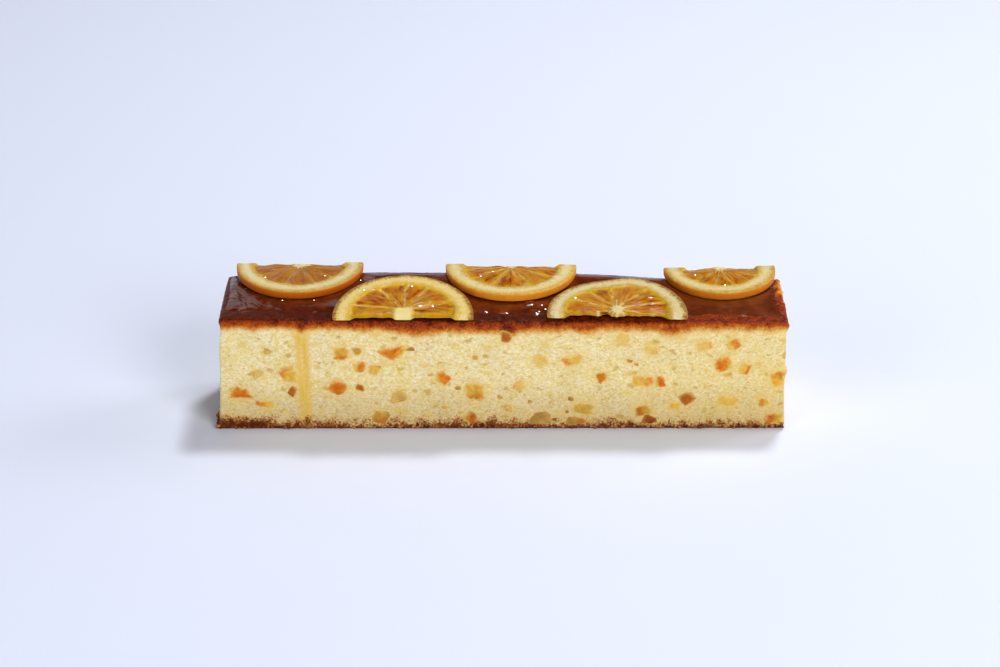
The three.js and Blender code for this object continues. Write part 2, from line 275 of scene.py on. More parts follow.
def bar_surface():
    """The bar's outline, a rounded rectangle, carried up the rows; then pushed out along its own
    facing by the knife's wander, by crags and grain, and in by open pores and torn places."""
    along, across, facing = wall_columns()
    own, share, flare, lip, ledge, out, look_up = (row[:, None] for row in wall_rows())
    reach = {}
    for name, wall in WALLS.items():
        runs_out = flare * wall["flare"] + ledge * wall["ledge"] - lip * wall["lip"]
        reach[name] = wall["half"] + runs_out + out - CORNER_ROUND
    x = blend(-reach["left"], reach["right"], along) + CORNER_ROUND * np.cos(facing)
    y = blend(-reach["front"], reach["back"], across) + CORNER_ROUND * np.sin(facing)
    z = own + share * top_height(x, y)
    spots = np.stack([x, y, z], axis=-1)

    # What each place is: cut face, foot, crust, run of glaze, pore, tear or broken end
    run = np.where(np.abs(np.cos(facing)) > 0.7, y, x)
    cut = np.cos(look_up) * (flare + lip > 0)
    foot = 1 - ease(z, *FOOT_BAND)
    crust = share >= 1
    wet = wet_by_drip(x, y, z, spots)
    crumb = cut * (1 - foot) * (1 - crust) * (1 - wet)
    steps = np.diff(spots[MIDDLE_ROW, :, :2], axis=0, prepend=spots[MIDDLE_ROW, -1:, :2])
    round_bar = np.broadcast_to(np.cumsum(np.hypot(*steps.T)), z.shape)
    warped = round_bar + layered_noise(spots, PIT_WARP["along"])
    lifted = z + layered_noise(spots, PIT_WARP["up"])
    pores = pits(round_bar, z, **FINE_PORES)
    holes = pits(warped, lifted, **HOLES)
    sunken = pits(warped, lifted, **SUNKEN_PEEL)
    torn = foot * ease(z, -0.1, 0.6) * ease(layered_noise(spots, TEARS), 0.35, 0.9)
    at_end = ease(x, LENGTH / 2 - CRUMBLY["in"], LENGTH / 2 - CRUMBLY["out"])
    crumbly = at_end * ease(y, CRUMBLY["front"], CRUMBLY["back"]) * ease(share * look_up, 0.2, 0.8)
    bare_crust = crust * (1 - GLAZE_SMOOTHS * ease(y, GLAZE_FRONT - 3, GLAZE_FRONT + 1))

    push = wander(run, z) * cut + DRIP_FILM["thick"] * wet
    push = push + layered_noise(spots, GRAIN) * (1 - DRIP_FILM["smooths"] * wet)
    push = push + foot * ease(z, 0, 0.6) * layered_noise(spots, CRAGS)
    push = push + bare_crust * layered_noise(spots, CRUST_GRAIN)
    push = push + crumbly * (CRUMBLY["push"] + layered_noise(spots, CRUMBLY_LUMPS))
    push = push - crumb * (PIT_DEPTHS["pore"] * pores + PIT_DEPTHS["hole"] * holes)
    push = (push - PIT_DEPTHS["tear"] * torn) * ease(z, 0, 0.3)
    x = x + push * np.cos(look_up) * np.cos(facing)
    y = y + push * np.cos(look_up) * np.sin(facing)
    z = z + push * np.sin(look_up)

    below = np.clip(top_height(x, y) - z, 0, None) * (1 + BROWNING["uneven"] * noise(spots, 6, 17))
    broken = CRUMBLY["paler"] * crumbly * ease(noise(spots, 3.4, 19), -0.2, 0.6)
    higher = LEFT_FOOT["higher"] * (1 - ease(x, LEFT_FOOT["from"], LEFT_FOOT["to"]))
    patchy = layered_noise(spots, FOOT_PATCHES) - higher
    values = {
        "faded": browning(x, y, below) - TOP_BROWNER * ease(look_up, 0.4, 1.5) + broken,
        # painted shade in pores and holes
        "pore": crumb * np.maximum(PIT_SHADES["pore"] * pores, PIT_SHADES["hole"] * holes),
        "veiled": crumb * sunken**2,
        "wet": wet,
        # painted shade: tears in the foot count as lower, so they take the foot's darker brown
        "above": z - PIT_SHADES["tear"] * torn + patchy * ease(z, 0.5, 3),
    }
    return np.stack([x, y, z], axis=-1), values


def band_faces(rows, columns):
    """Faces between rows of points that run round and close on themselves."""
    k = np.arange(columns)
    after = (k + 1) % columns
    first = np.arange(rows - 1)[:, None] * columns
    quads = np.stack([first + k, first + after, first + columns + after, first + columns + k], axis=-1)
    return quads.reshape(-1, 4)


def zipped_faces(rows, columns):
    """Faces of rows of points that run round. The first and last rows are zipped shut by joining each
    point with the one across from it."""
    half = np.arange(1, columns // 2 - 1)
    zip_quads = np.stack([half, half + 1, columns - half - 1, columns - half], axis=-1)
    middle = columns // 2
    zip_ends = np.array([[0, 1, columns - 1], [middle - 1, middle, middle + 1]])
    last = (rows - 1) * columns
    quads = np.concatenate([band_faces(rows, columns), zip_quads + last, zip_quads[:, ::-1]])
    return [quads, np.concatenate([zip_ends + last, zip_ends[:, ::-1]])]


def paint(made, **attributes):
    """Gives each point of a piece a value, or a vector, under each attribute's name."""
    for name, values in attributes.items():
        kind, key = ("FLOAT_VECTOR", "vector") if values.shape[-1:] == (3,) else ("FLOAT", "value")
        attribute = made.data.attributes.new(name, kind, "POINT")
        attribute.data.foreach_set(key, values.ravel().astype(np.float32))


def piece(name, points, faces, material, slot, **attributes):
    """A mesh of points in the bar's frame, with its faces, its material and its points' values. It
    rides on the part's one body."""
    mesh = bpy.data.meshes.new(name)
    places = (points.reshape(-1, 3) + BAR_PLACE) * MM
    mesh.from_pydata(places.tolist(), [], [face for group in faces for face in group.tolist()])
    mesh.polygons.foreach_set("use_smooth", np.ones(len(mesh.polygons), dtype=bool))
    mesh.materials.append(material)
    mesh.update()
    made = bpy.data.objects.new(name, mesh)
    bpy.context.scene.collection.objects.link(made)
    paint(made, **attributes)
    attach(made, "root")
    return made


def linear(colour):
    """A six-figure sRGB hex colour as linear red, green, blue and alpha."""
    parts = np.array([int(colour[i : i + 2], 16) for i in (1, 3, 5)]) / 255
    parts = np.where(parts <= 0.04045, parts / 12.92, ((parts + 0.055) / 1.055) ** 2.4)
    return (*parts.tolist(), 1.0)


def new_material(name):
    """An empty node material and its tree."""
    material = bpy.data.materials.new(name)
    material.use_nodes = True
    material.node_tree.nodes.clear()
    return material, material.node_tree


def add(tree, kind, inputs=None, out=0, stops=(), **settings):
    """Adds a node and gives the output asked for. Settings are the node's own properties, each input
    takes a link, a value or a hex colour, and stops fill a colour ramp with places and hex colours."""
    node = tree.nodes.new("ShaderNode" + kind)
    for key, value in settings.items():
        setattr(node, key, value)
    for key, value in (inputs or {}).items():
        if isinstance(value, bpy.types.NodeSocket):
            tree.links.new(value, node.inputs[key])
        else:
            node.inputs[key].default_value = linear(value) if isinstance(value, str) else value
    while stops and len(node.color_ramp.elements) < len(stops):
        node.color_ramp.elements.new(0.5)
    for element, (place, colour) in zip(node.color_ramp.elements if stops else (), stops):
        element.position = place
        element.color = linear(colour)
    return node.outputs[out] if node.outputs else node


COLOURS = {"out": 2, "data_type": "RGBA"}  # a mix of two colours
SHADES = {**COLOURS, "blend_type": "MULTIPLY"}  # one colour shaded by another


def crumb_and_crust():
    """Butter crumb, a fine foam: pale walls round yellower cells, drawn a millimetre wide so that they
    show, pricked with small open pores and matte; where the oven reached it, it browns through gold and
    orange to a dark, granular crust."""
    material, tree = new_material("butter_crumb_and_crust")
    place = add(tree, "TexCoord", out="Object")
    along = add(tree, "SeparateXYZ", {"Vector": place}, "X")
    flat = add(tree, "Mapping", {"Vector": place, "Scale": (0.7, 0.7, 1.0)})
    upright = add(tree, "Mapping", {"Vector": place, "Scale": (1.0, 1.0, 0.12)})
    faded, pore, veiled, wet, soak, above = (
        add(tree, "Attribute", None, "Fac", attribute_name=name)
        for name in ("faded", "pore", "veiled", "wet", "soak", "above")
    )
    # Each pattern's direction, its size in millimetres, its detail and the roughness of that: in the
    # crumb grain, pricks, cells and bits; in the crust granules, clods and patches; fields; runs of glaze
    grain, pricks, cells, bits, granule, clods, patch, mottle, drift, runs = (
        add(
            tree,
            "TexNoise",
            {"Vector": way, "Scale": 1 / (size * MM), "Detail": detail, "Roughness": rough},
        )
        for way, size, detail, rough in [
            (flat, 0.7, 2.0, 0.6),
            (flat, 1.0, 1.0, 0.5),
            (flat, 1.3, 2.0, 0.6),
            (flat, 3.4, 1.0, 0.5),
            (place, 0.9, 3.0, 0.6),
            (place, 2.8, 3.0, 0.5),
            (place, 3.2, 4.0, 0.6),
            (place, 10.0, 3.0, 0.5),
            (place, 17.0, 2.0, 0.5),
            (upright, 1.2, 2.0, 0.5),
        ]
    )

    # The foam: pale walls and yellow cells, with golden, greyer and richer fields, and painted shade that
    # darkens it towards the foot. Each tone has what its share goes by, the values that this runs between,
    # and the share at each
    foam_stops = [(0.34, "#ead288"), (0.5, "#eedca6"), (0.64, "#f1e4bc")]
    foam = add(tree, "ValToRGB", {"Fac": cells}, stops=foam_stops)
    for tone, *span in [
        ("#e6ca72", mottle, 0.5, 0.72, 0.0, 0.45),
        ("#dac9a4", drift, 0.45, 0.7, 0.0, 0.25),
        ("#e4c66c", along, 20 * MM, 110 * MM, 0.0, 0.3),
        # painted shade: darker towards the foot
        ("#c0a062", above, 24.0, 4.0, 0.0, 0.5),
    ]:
        share = add(tree, "MapRange", dict(enumerate(span)))
        foam = add(tree, "Mix", {0: share, 6: foam, 7: tone}, **COLOURS)
    lit_stops = [(0.32, "#e8dfcc"), (0.5, "#faf8f3"), (0.62, "#ffffff")]
    lit = add(tree, "ValToRGB", {"Fac": grain}, stops=lit_stops)
    crumb = add(tree, "Mix", {0: 1.0, 6: foam, 7: lit}, **SHADES)

    # What breaks it up: pricks, pores and holes darkened by painted shade in their hollows, flecks,
    # syrup round the peel, and the run of glaze
    opening = add(tree, "MapRange", {0: above, 1: 24.0, 2: 3.0, 3: 0.7, 4: 0.54})
    seeping = add(tree, "Math", {0: veiled, 1: 0.6}, operation="MULTIPLY")
    syrupy = add(tree, "Math", {0: soak, 1: seeping}, operation="MAXIMUM")
    uneven_film = add(tree, "MapRange", {0: runs, 1: 0.3, 2: 0.7, 3: 0.55, 4: 0.95})
    film = add(tree, "Math", {0: wet, 1: uneven_film}, operation="MULTIPLY")
    pricked = add(tree, "MapRange", {0: pricks, 1: opening, 2: 0.82, 3: 0.0, 4: 0.75})
    flecked = add(tree, "MapRange", {0: bits, 1: 0.68, 2: 0.74, 3: 0.0, 4: 0.7})
    for share, tone in [
        (pricked, "#ab8a48"),
        (flecked, "#c69c3c"),
        (pore, "#bd9338"),
        (syrupy, "#dcb854"),
        (film, "#ddb03a"),
    ]:
        crumb = add(tree, "Mix", {0: share, 6: crumb, 7: tone}, **COLOURS)

    # The crust's browning by how far it has faded, broken up by its grain
    shift = add(tree, "MapRange", {0: patch, 1: 0.25, 2: 0.75, 3: 0.04, 4: 0.26})
    browned = add(tree, "Math", {0: faded, 1: shift}, operation="ADD")
    grains = add(tree, "MapRange", {0: granule, 1: 0.3, 2: 0.7, 3: -0.09, 4: 0.09})
    toasted = add(tree, "Math", {0: browned, 1: grains}, operation="ADD")
    crust_share = add(tree, "Math", {0: toasted, 1: 1 / FADED_OUT}, operation="MULTIPLY")
    crust_stops = [
        (0.0, "#60220b"), (0.15, "#86310f"), (0.36, "#aa4411"), (0.5, "#b85816"), (0.59, "#c67224"),
        (0.67, "#d08f3a"), (0.76, "#d8a654"), (0.88, "#e2bd74"), (1.0, "#e8cd8c"),
    ]
    crust = add(tree, "ValToRGB", {"Fac": crust_share}, stops=crust_stops)
    blotch_stops = [(0.36, "#9c8272"), (0.5, "#f0e8e4"), (0.64, "#ffffff")]
    blotches = add(tree, "ValToRGB", {"Fac": patch}, stops=blotch_stops)
    gritty_stops = [(0.36, "#6e625a"), (0.5, "#e6deda"), (0.62, "#ffffff")]
    gritty = add(tree, "ValToRGB", {"Fac": granule}, stops=gritty_stops)
    biting = add(tree, "MapRange", {0: browned, 1: 0.35, 2: 0.75, 3: 0.7, 4: 0.1})
    for shade in (blotches, gritty):
        crust = add(tree, "Mix", {0: biting, 6: crust, 7: shade}, **SHADES)
    bare = add(tree, "MapRange", {0: browned, 1: 0.85, 2: 1.25})
    sides = add(tree, "Mix", {0: bare, 6: crust, 7: crumb}, **COLOURS)

    # The foot's browning by height, with ragged clods and sandy grain
    ragged = add(tree, "MapRange", {0: clods, 1: 0.32, 2: 0.68, 3: 1.2, 4: -1.2})
    sandy = add(tree, "MapRange", {0: granule, 1: 0.32, 2: 0.68, 3: 2.6, 4: -2.6})
    rough_edge = add(tree, "Math", {0: ragged, 1: sandy}, operation="ADD")
    risen = add(tree, "Math", {0: above, 1: rough_edge}, operation="ADD")
    foot_share = add(tree, "MapRange", {0: risen, 1: -0.5, 2: 7.0})
    foot_stops = [
        (0.0, "#54230e"), (0.12, "#733615"), (0.24, "#8e4a1c"), (0.36, "#a35e26"),
        (0.5, "#ba8242"), (0.66, "#cca566"), (0.84, "#d7bc84"), (1.0, "#ddc894"),
    ]
    foot_crust = add(tree, "ValToRGB", {"Fac": foot_share}, stops=foot_stops)
    foot = add(tree, "Mix", {0: 0.9, 6: foot_crust, 7: gritty}, **SHADES)
    above_foot = add(tree, "MapRange", {0: risen, 1: 2.4, 2: 5.6})
    colour = add(tree, "Mix", {0: above_foot, 6: foot, 7: sides}, **COLOURS)

    crusty = add(tree, "MapRange", {0: faded, 1: 0.1, 2: 0.6, 3: 0.32, 4: 0.85})
    rough = add(tree, "MapRange", {0: wet, 3: crusty, 4: 0.4})
    lumps = add(tree, "Math", {0: granule, 1: 0.8, 2: grain}, operation="MULTIPLY_ADD")
    height = add(tree, "Math", {0: cells, 1: 0.6, 2: lumps}, operation="MULTIPLY_ADD")
    strength = add(tree, "MapRange", {0: faded, 1: 0.2, 2: 0.9, 3: 0.6, 4: 0.22})
    relief = add(tree, "Bump", {"Height": height, "Strength": strength, "Distance": 0.3 * MM})
    finish = {
        "Base Color": colour,
        "Roughness": rough,
        "Normal": relief,
        "IOR": 1.4,
        "Specular IOR Level": 0.1,
    }
    add(tree, "OutputMaterial", {"Surface": add(tree, "BsdfPrincipled", finish)})
    return material


bar_points, bar_values = bar_surface()
bar_faces = zipped_faces(*bar_points.shape[:2])
bar = piece("bar", bar_points, bar_faces, crumb_and_crust(), "crumb", **bar_values)
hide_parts("cake")

# The peel dice: candied orange peel, mixed into the batter and cut through with the crumb. Each shows
# orange zest, golden pith or both, and its syrup has soaked a little way into the crumb round it.
DIE_SECTION = np.array([  # from its back to its face: the share of its outline, and how far out it lies
    (0.5, -4.5), (1, -4.2), (1, -0.9), (0.97, -0.3), (0.9, -0.02),
    (0.8, 0.1), (0.66, 0.18), (0.48, 0.24), (0.24, 0.27),
])
DIE_POLES = [-4.5, 0.28]  # how far out its back and the middle of its face lie
DIE_STEPS = 28
DIE_ROUND = 0.48  # from 0, a sharp box, to 1, an ellipse
DIE_GROWTH = 1.24  # its outermost part is veiled by crumb
# Its outline's waves: strength, how many go round, and how far they shift from die to die
DIE_WAVES = [(0.1, 2, 7), (0.07, 3, 11), (0.05, 7, 5)]
DIE_LEAN = 0.2  # how far its face leans out at the most
DIE_SPOTS = {"zest": [(0.14, 2.4, 51)], "burnt": [(0.15, 2.8, 52)], "veil": [(0.2, 1.5, 53)]}
DIE_SIZES = (3.2, 6.6)
DIE_SPACING = 0.75  # least distance between two dice, as a share of their sizes together
DIE_HEIGHTS = (3.0, 44.0)
EVEN_STEP = {"along": 0.7548776662, "up": 0.569840291}  # steps of an even two-way sequence
SCATTERED_DICE = {"front": 6, "right": 7, "back": 44, "left": 7}
FAINT = {"front": 0.55, "right": 0.0, "back": 0.0, "left": 0.0}  # least veil of crumb over the scattered
# How those placed by rule vary: in width and tallness by their size, turn in degrees, taper, and how dark
# and veiled they are; low ones are darker
STRAY = {"wide": (0.8, 1.35), "tall": 0.85, "turn": 40, "taper": 1.4, "dark": 0.4, "low": 8, "veil": 0.5}
SYRUP_REACH = 0.36  # how far its syrup soaks, as a share of its width and tallness together
SYRUP_SHARE = 0.6
# Those that stand out on the front: along, height, width, tallness, turn; how far it narrows to the
# top; the share of zest and the side that it is on, in degrees; how dark, and how veiled by crumb
FRONT_DICE = [
    (-114.9, 17.8, 7.6, 5.6, 4, 0.85, 1.0, 90, 0.15, 0.0),
    (-104.5, 12.4, 7.2, 2.8, 6, 0.0, 0.5, 200, 0.0, 0.0),
    (-93.6, 26.5, 6.2, 7.8, -20, -0.4, 0.25, 135, 0.0, 0.1),
    (-92.5, 18.2, 3.4, 4.4, 30, 0.0, 1.0, 90, 0.6, 0.0),
    (-70.6, 36.7, 6.6, 5.4, 0, 0.1, 0.28, 270, 0.15, 0.0),
    (-62.8, 29.9, 5.2, 4.4, -8, -0.2, 0.65, 0, 0.0, 0.0),
    (-56.5, 28.9, 4.8, 4.4, 12, -0.3, 0.15, 90, 0.0, 0.1),
    (-72.8, 20.2, 7.0, 7.4, 38, 0.0, 1.0, 90, 0.2, 0.0),
    (-48.1, 36.4, 8.6, 6.6, -12, -1.1, 0.7, 140, 0.0, 0.0),
    (-26.6, 25.0, 5.8, 5.6, 42, 0.1, 0.8, 60, 0.05, 0.0),
    (-12.5, 18.2, 7.2, 8.4, -4, -0.2, 0.3, 270, 0.15, 0.0),
    (-14.5, 5.2, 6.0, 5.0, 30, 0.2, 0.7, 0, 0.5, 0.0),
    (0.8, 44.4, 4.6, 4.8, 15, -0.4, 0.9, 270, 0.55, 0.0),
    (29.4, 33.4, 8.6, 4.0, -16, 0.0, 0.4, 200, 0.0, 0.15),
    (34.8, 9.9, 8.4, 4.8, 8, 0.0, 0.0, 0, 0.25, 0.1),
    (16.2, 4.6, 8.6, 6.0, 0, 0.2, 0.0, 0, 0.58, 0.4),
    (42.4, 25.1, 4.2, 5.2, -25, 0.0, 0.8, 180, 0.15, 0.0),
    (60.0, 23.2, 8.2, 4.8, 5, 0.0, 0.25, 0, 0.0, 0.15),
    (67.9, 23.2, 3.8, 5.6, -12, 0.0, 0.8, 0, 0.15, 0.0),
    (51.3, 43.6, 4.8, 5.2, 30, 0.0, 0.0, 0, 0.0, 0.6),
    (79.9, 14.6, 6.2, 5.2, -30, 0.0, 1.0, 90, 0.5, 0.0),
    (99.4, 41.0, 6.6, 4.4, -28, 0.0, 0.55, 0, 0.0, 0.1),
    (95.0, 31.2, 8.2, 6.0, -18, 0.0, 0.75, 150, 0.0, 0.0),
    (104.6, 29.2, 4.8, 5.0, 25, 0.0, 0.35, 0, 0.0, 0.0),
    (97.4, 13.5, 8.4, 4.8, 12, 0.0, 0.0, 0, 0.0, 0.25),
    (119.0, 23.8, 5.0, 8.2, 0, -0.4, 0.3, 90, 0.0, 0.0),
    (118.4, 5.0, 7.0, 5.6, 0, 0.0, 0.5, 180, 0.25, 0.0),
    (60.8, 9.2, 6.4, 5.2, -15, 0.0, 0.45, 180, 0.4, 0.0),
    (-63.7, 37.6, 3.8, 3.6, 0, -0.8, 0.1, 90, 0.3, 0.0),
    (-62.8, 20.4, 3.6, 2.8, 10, 0.5, 1.0, 90, 0.5, 0.0),
    (-54.0, 5.6, 7.2, 6.0, 20, 0.0, 0.45, 315, 0.5, 0.1),
    (15.6, 33.2, 5.2, 5.6, -35, 0.0, 0.1, 0, 0.0, 0.5),
    (31.6, 3.6, 8.6, 3.6, 6, 0.0, 0.4, 0, 0.5, 0.1),
    (63.6, 4.4, 5.2, 4.2, 30, 0.0, 0.8, 90, 0.85, 0.0),
    (74.8, 11.1, 4.0, 4.2, 15, 0.0, 0.05, 0, 0.0, 0.1),
    (86.7, 39.9, 6.2, 4.0, -12, 0.0, 0.1, 0, 0.0, 0.35),
    (113.6, 13.0, 4.8, 3.6, -10, 0.0, 0.5, 180, 0.0, 0.1),
]
# Small dark specks of peel on the front, told in the same way
FRONT_SPECKS = [
    (-41.0, 39.0, 3.6, 1.8, 0, 0.3, 0.0, 0, 0.6, 0.2),
    (-12.6, 34.6, 2.0, 2.1, 0, 0.0, 0.0, 0, 0.45, 0.25),
    (-1.7, 15.8, 2.2, 1.9, 0, 0.0, 0.0, 0, 0.4, 0.25),
    (-20.0, 19.9, 2.3, 1.7, -15, 0.0, 0.0, 0, 0.6, 0.3),
    (29.2, 14.4, 2.5, 1.6, 10, 0.0, 0.0, 0, 0.65, 0.3),
    (27.7, 8.3, 1.5, 1.3, 0, 0.0, 0.0, 0, 0.8, 0.2),
    (-4.2, 2.9, 1.5, 1.4, 0, 0.0, 0.0, 0, 0.95, 0.0),
    (22.1, 4.6, 1.8, 1.3, 0, 0.0, 0.0, 0, 0.9, 0.1),
    (-25.9, 10.7, 2.3, 2.0, 20, 0.0, 0.0, 0, 0.4, 0.4),
    (11.3, 13.4, 1.6, 1.5, 0, 0.0, 0.0, 0, 0.4, 0.3),
    (54.5, 32.8, 2.3, 1.5, 20, 0.0, 0.9, 90, 0.4, 0.3),
    (57.5, 31.2, 1.7, 1.3, 0, 0.0, 0.9, 90, 0.3, 0.3),
]


def scattered_dice(wall, count, placed, faint):
    """Dice of seeded sizes and looks on an even sequence over a wall, clear of those already there.
    Low ones, near the hot tin, are darker."""
    dice = list(placed)
    i = 0
    while len(dice) < len(placed) + count:
        i += 1
        seed = i + wall["facing"] + math.pi / 2
        size = blend(*DIE_SIZES, chance(seed) ** 1.6)
        along = (i * EVEN_STEP["along"] % 1 * 2 - 1) * (wall["run"] - DIE_SIZES[1])
        z = blend(DIE_HEIGHTS[0] + size / 2, DIE_HEIGHTS[1], i * EVEN_STEP["up"] % 1)
        if any(math.hypot(die[0] - along, die[1] - z) < (die[2] + size) * DIE_SPACING for die in dice):
            continue
        wide = size * blend(*STRAY["wide"], chance(2 * seed))
        turn = STRAY["turn"] * (2 * chance(3 * seed) - 1)
        taper = STRAY["taper"] * (chance(5 * seed) - 0.5)
        zest = ease(chance(7 * seed), 0.1, 0.9) * (1 - faint)
        side = 360 * chance(11 * seed)
        dark = STRAY["dark"] * (chance(13 * seed) + (z < STRAY["low"]))
        veil = max(STRAY["veil"] * chance(17 * seed) ** 2, faint)
        dice.append((along, z, wide, STRAY["tall"] * size, turn, taper, zest, side, dark, veil))
    return dice


def capped_faces(rows, columns):
    """Faces of rows of points that run round, with a fan to a pole beyond the first and the last row.
    The poles are the two points that follow the grid's."""
    k = np.arange(columns)
    after = (k + 1) % columns
    low = np.full(columns, rows * columns)
    last = (rows - 1) * columns
    fans = [np.stack([low, after, k], axis=-1), np.stack([low + 1, last + k, last + after], axis=-1)]
    return [band_faces(rows, columns), *fans]


def copied_faces(faces, copies):
    """The faces of one small shape for each of its copies, given as rows of points."""
    first = np.arange(len(copies))[:, None, None] * copies.shape[1]
    return [(group + first).reshape(-1, group.shape[1]) for group in faces]


def die_surface(die, seed):
    """One die seen from outside its wall: a round-cornered outline, drawn in to one end and wobbled, is
    carried up the section. Gives each point's place along, out and up, and its values."""
    along, z, wide, tall, turn, taper, zest, side, dark, veil = die
    angle = np.linspace(0, 2 * math.pi, DIE_STEPS, endpoint=False)
    waves = (strength * np.sin(count * angle + shift * seed) for strength, count, shift in DIE_WAVES)
    wobble = DIE_GROWTH * sum(waves, 1)
    right = wide / 2 * wobble * np.sign(np.cos(angle)) * np.abs(np.cos(angle)) ** DIE_ROUND
    up = tall / 2 * wobble * np.sign(np.sin(angle)) * np.abs(np.sin(angle)) ** DIE_ROUND
    right = right * (1 - taper * up / tall)
    share = np.append(np.repeat(DIE_SECTION[:, 0], DIE_STEPS), [0, 0])
    out = np.append(np.repeat(DIE_SECTION[:, 1], DIE_STEPS), DIE_POLES)
    right, up = (share * np.append(np.tile(way, len(DIE_SECTION)), [0, 0]) for way in (right, up))
    rightward = 2 * right / wide
    upward = 2 * up / tall
    out = out + DIE_LEAN * ((chance(seed, 1) - 0.5) * rightward + (chance(seed, 2) - 0.5) * upward)
    toward = rightward * math.cos(math.radians(side)) + upward * math.sin(math.radians(side))
    orange = ease(toward + 0.15 * np.sin(5 * right + seed), 0.75 - 2 * zest, 1.25 - 2 * zest)
    tilt = -math.radians(turn)
    place_along = along + right * math.cos(tilt) - up * math.sin(tilt)
    place_up = z + right * math.sin(tilt) + up * math.cos(tilt)
    spots = np.stack([place_along, out, place_up], axis=-1)
    orange = np.clip(orange * (0.95 + layered_noise(spots, DIE_SPOTS["zest"])), 0, 1)
    burnt = np.clip(dark + layered_noise(spots, DIE_SPOTS["burnt"]), 0, 1)
    outer = ease(share + layered_noise(spots, DIE_SPOTS["veil"]), 0.5, 0.95)
    return spots, orange, burnt, np.maximum(veil, 0.95 * outer)


def on_wall(wall, along, out, z):
    """The place on a wall that lies so far along it, seen from outside, so far out of its cut face and
    so high, with the knife's wander followed."""
    turn = wall["facing"]
    share = np.clip((z - WALL_FOOT) / (HEIGHT - CRUST - WALL_FOOT), 0, 1)
    run = along * (1 if turn in (WALLS["front"]["facing"], WALLS["right"]["facing"]) else -1)
    reach = wall["half"] + blend(wall["flare"], -wall["lip"], share) + wander(run, z) + out
    x = reach * math.cos(turn) - along * math.sin(turn)
    y = reach * math.sin(turn) + along * math.cos(turn)
    return np.stack([x, y, z], axis=-1)


def candied_peel():
    """Candied peel: soft, half clear and sticky, so smooth and a little glossy. Zest is deep orange,
    pith a clear gold, and both go brown near the tin. Crumb clings to the edges."""
    material, tree = new_material("candied_peel")
    place = add(tree, "TexCoord", out="Object")
    orange, dark, veil = (
        add(tree, "Attribute", None, "Fac", attribute_name=name) for name in ("orange", "dark", "veil")
    )
    mottle = add(tree, "TexNoise", {"Vector": place, "Scale": 1 / (1.8 * MM), "Detail": 3.0})
    pith = add(tree, "ValToRGB", {"Fac": mottle}, stops=[(0.35, "#d69a2a"), (0.65, "#deb448")])
    zest = add(tree, "ValToRGB", {"Fac": mottle}, stops=[(0.35, "#c85d08"), (0.65, "#dc7f12")])
    burnt = add(tree, "Mix", {0: orange, 6: "#6d4519", 7: "#7c2f0c"}, **COLOURS)
    scorched = add(tree, "MapRange", {0: dark, 1: 0.3, 2: 0.75})
    clung = add(tree, "Mix", {0: scorched, 6: "#e6ca7c", 7: "#a87838"}, **COLOURS)
    grain = add(tree, "TexNoise", {"Vector": place, "Scale": 1 / (0.8 * MM), "Detail": 3.0})
    clinging = add(tree, "MapRange", {0: grain, 1: 0.3, 2: 0.7, 3: 0.5, 4: 1.3})
    cover = add(tree, "Math", {0: veil, 1: clinging}, operation="MULTIPLY", use_clamp=True)
    colour = pith
    for share, tone in [(orange, zest), (dark, burnt), (cover, clung)]:
        colour = add(tree, "Mix", {0: share, 6: colour, 7: tone}, **COLOURS)
    relief = add(tree, "Bump", {"Height": mottle, "Strength": 0.4, "Distance": 0.2 * MM})
    finish = {
        "Base Color": colour,
        "Roughness": 0.4,
        "Normal": relief,
        "IOR": 1.45,
        "Specular IOR Level": 0.12,
    }
    add(tree, "OutputMaterial", {"Surface": add(tree, "BsdfPrincipled", finish)})
    return material


die_points = []
die_values = []
soak = np.zeros(bar_points.shape[:2])
for name, wall in WALLS.items():
    placed, specks = (FRONT_DICE, FRONT_SPECKS) if name == "front" else ([], [])
    strewn = scattered_dice(wall, SCATTERED_DICE[name], placed, FAINT[name]) + specks
    for number, die in enumerate(strewn):
        spots, *looks = die_surface(die, number + wall["facing"])
        die_points.append(on_wall(wall, *spots.T))
        die_values.append(looks)
        off = np.linalg.norm(bar_points - on_wall(wall, *np.array([die[0], 0.0, die[1]])), axis=-1)
        soak = np.maximum(soak, SYRUP_SHARE * bell(off, 0, SYRUP_REACH * (die[2] + die[3])))
die_points = np.array(die_points)
die_looks = dict(zip(("orange", "dark", "veil"), np.moveaxis(np.array(die_values), 1, 0)))
die_faces = copied_faces(capped_faces(len(DIE_SECTION), DIE_STEPS), die_points)
dice = piece("peel_dice", die_points, die_faces, candied_peel(), "candied_peel", **die_looks)
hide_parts("cake")
paint(bar, soak=soak)

# The candied orange slices: half rounds, boiled in syrup until pith and flesh turn glassy, and laid
# along the crust. A rind ring stands round shrunken flesh, whose membranes run out from a white core.
SLICE_THICK = 3.6
RING = 7.1
EDGE_BLEND = 0.9
FLESH_SUNK = 0.55
FLESH_RAISED = 1.0
SEGMENTS = 10
PILLOW = 0.5
# A juice sac: radians across, millimetres outwards, and how high it and the finer ones on it stand
SAC = {"wide": 1 / 9, "long": 6.0, "high": 0.18, "fine": 0.1}
SEAMS = {"uneven": 0.07, "shift": 0.3, "swing": 0.11}  # how the membranes stray, in radians
WORN = {"least": 0.5, "torn": 0.6, "reach": 4.2}  # flesh lost by the straight edge
# How much broader the ring is near the straight edge and where a membrane meets it, and how near
PITH = {"at_edge": 0.8, "near_edge": 4, "at_seam": 1.4, "near_seam": 1.8}
RIM_FROM = 0.965  # share of the way out at which the rim starts
SLICE_STEPS = {"arc": 190, "edge": 100, "under": 14, "rim": 9, "top": 76}
FLAT_SIDE = (-0.45, 0.25)  # shares of the radius to the left, from where the round is full to where flat
SLICE_GAP = 40.0  # how far apart the slices lie in their patterns
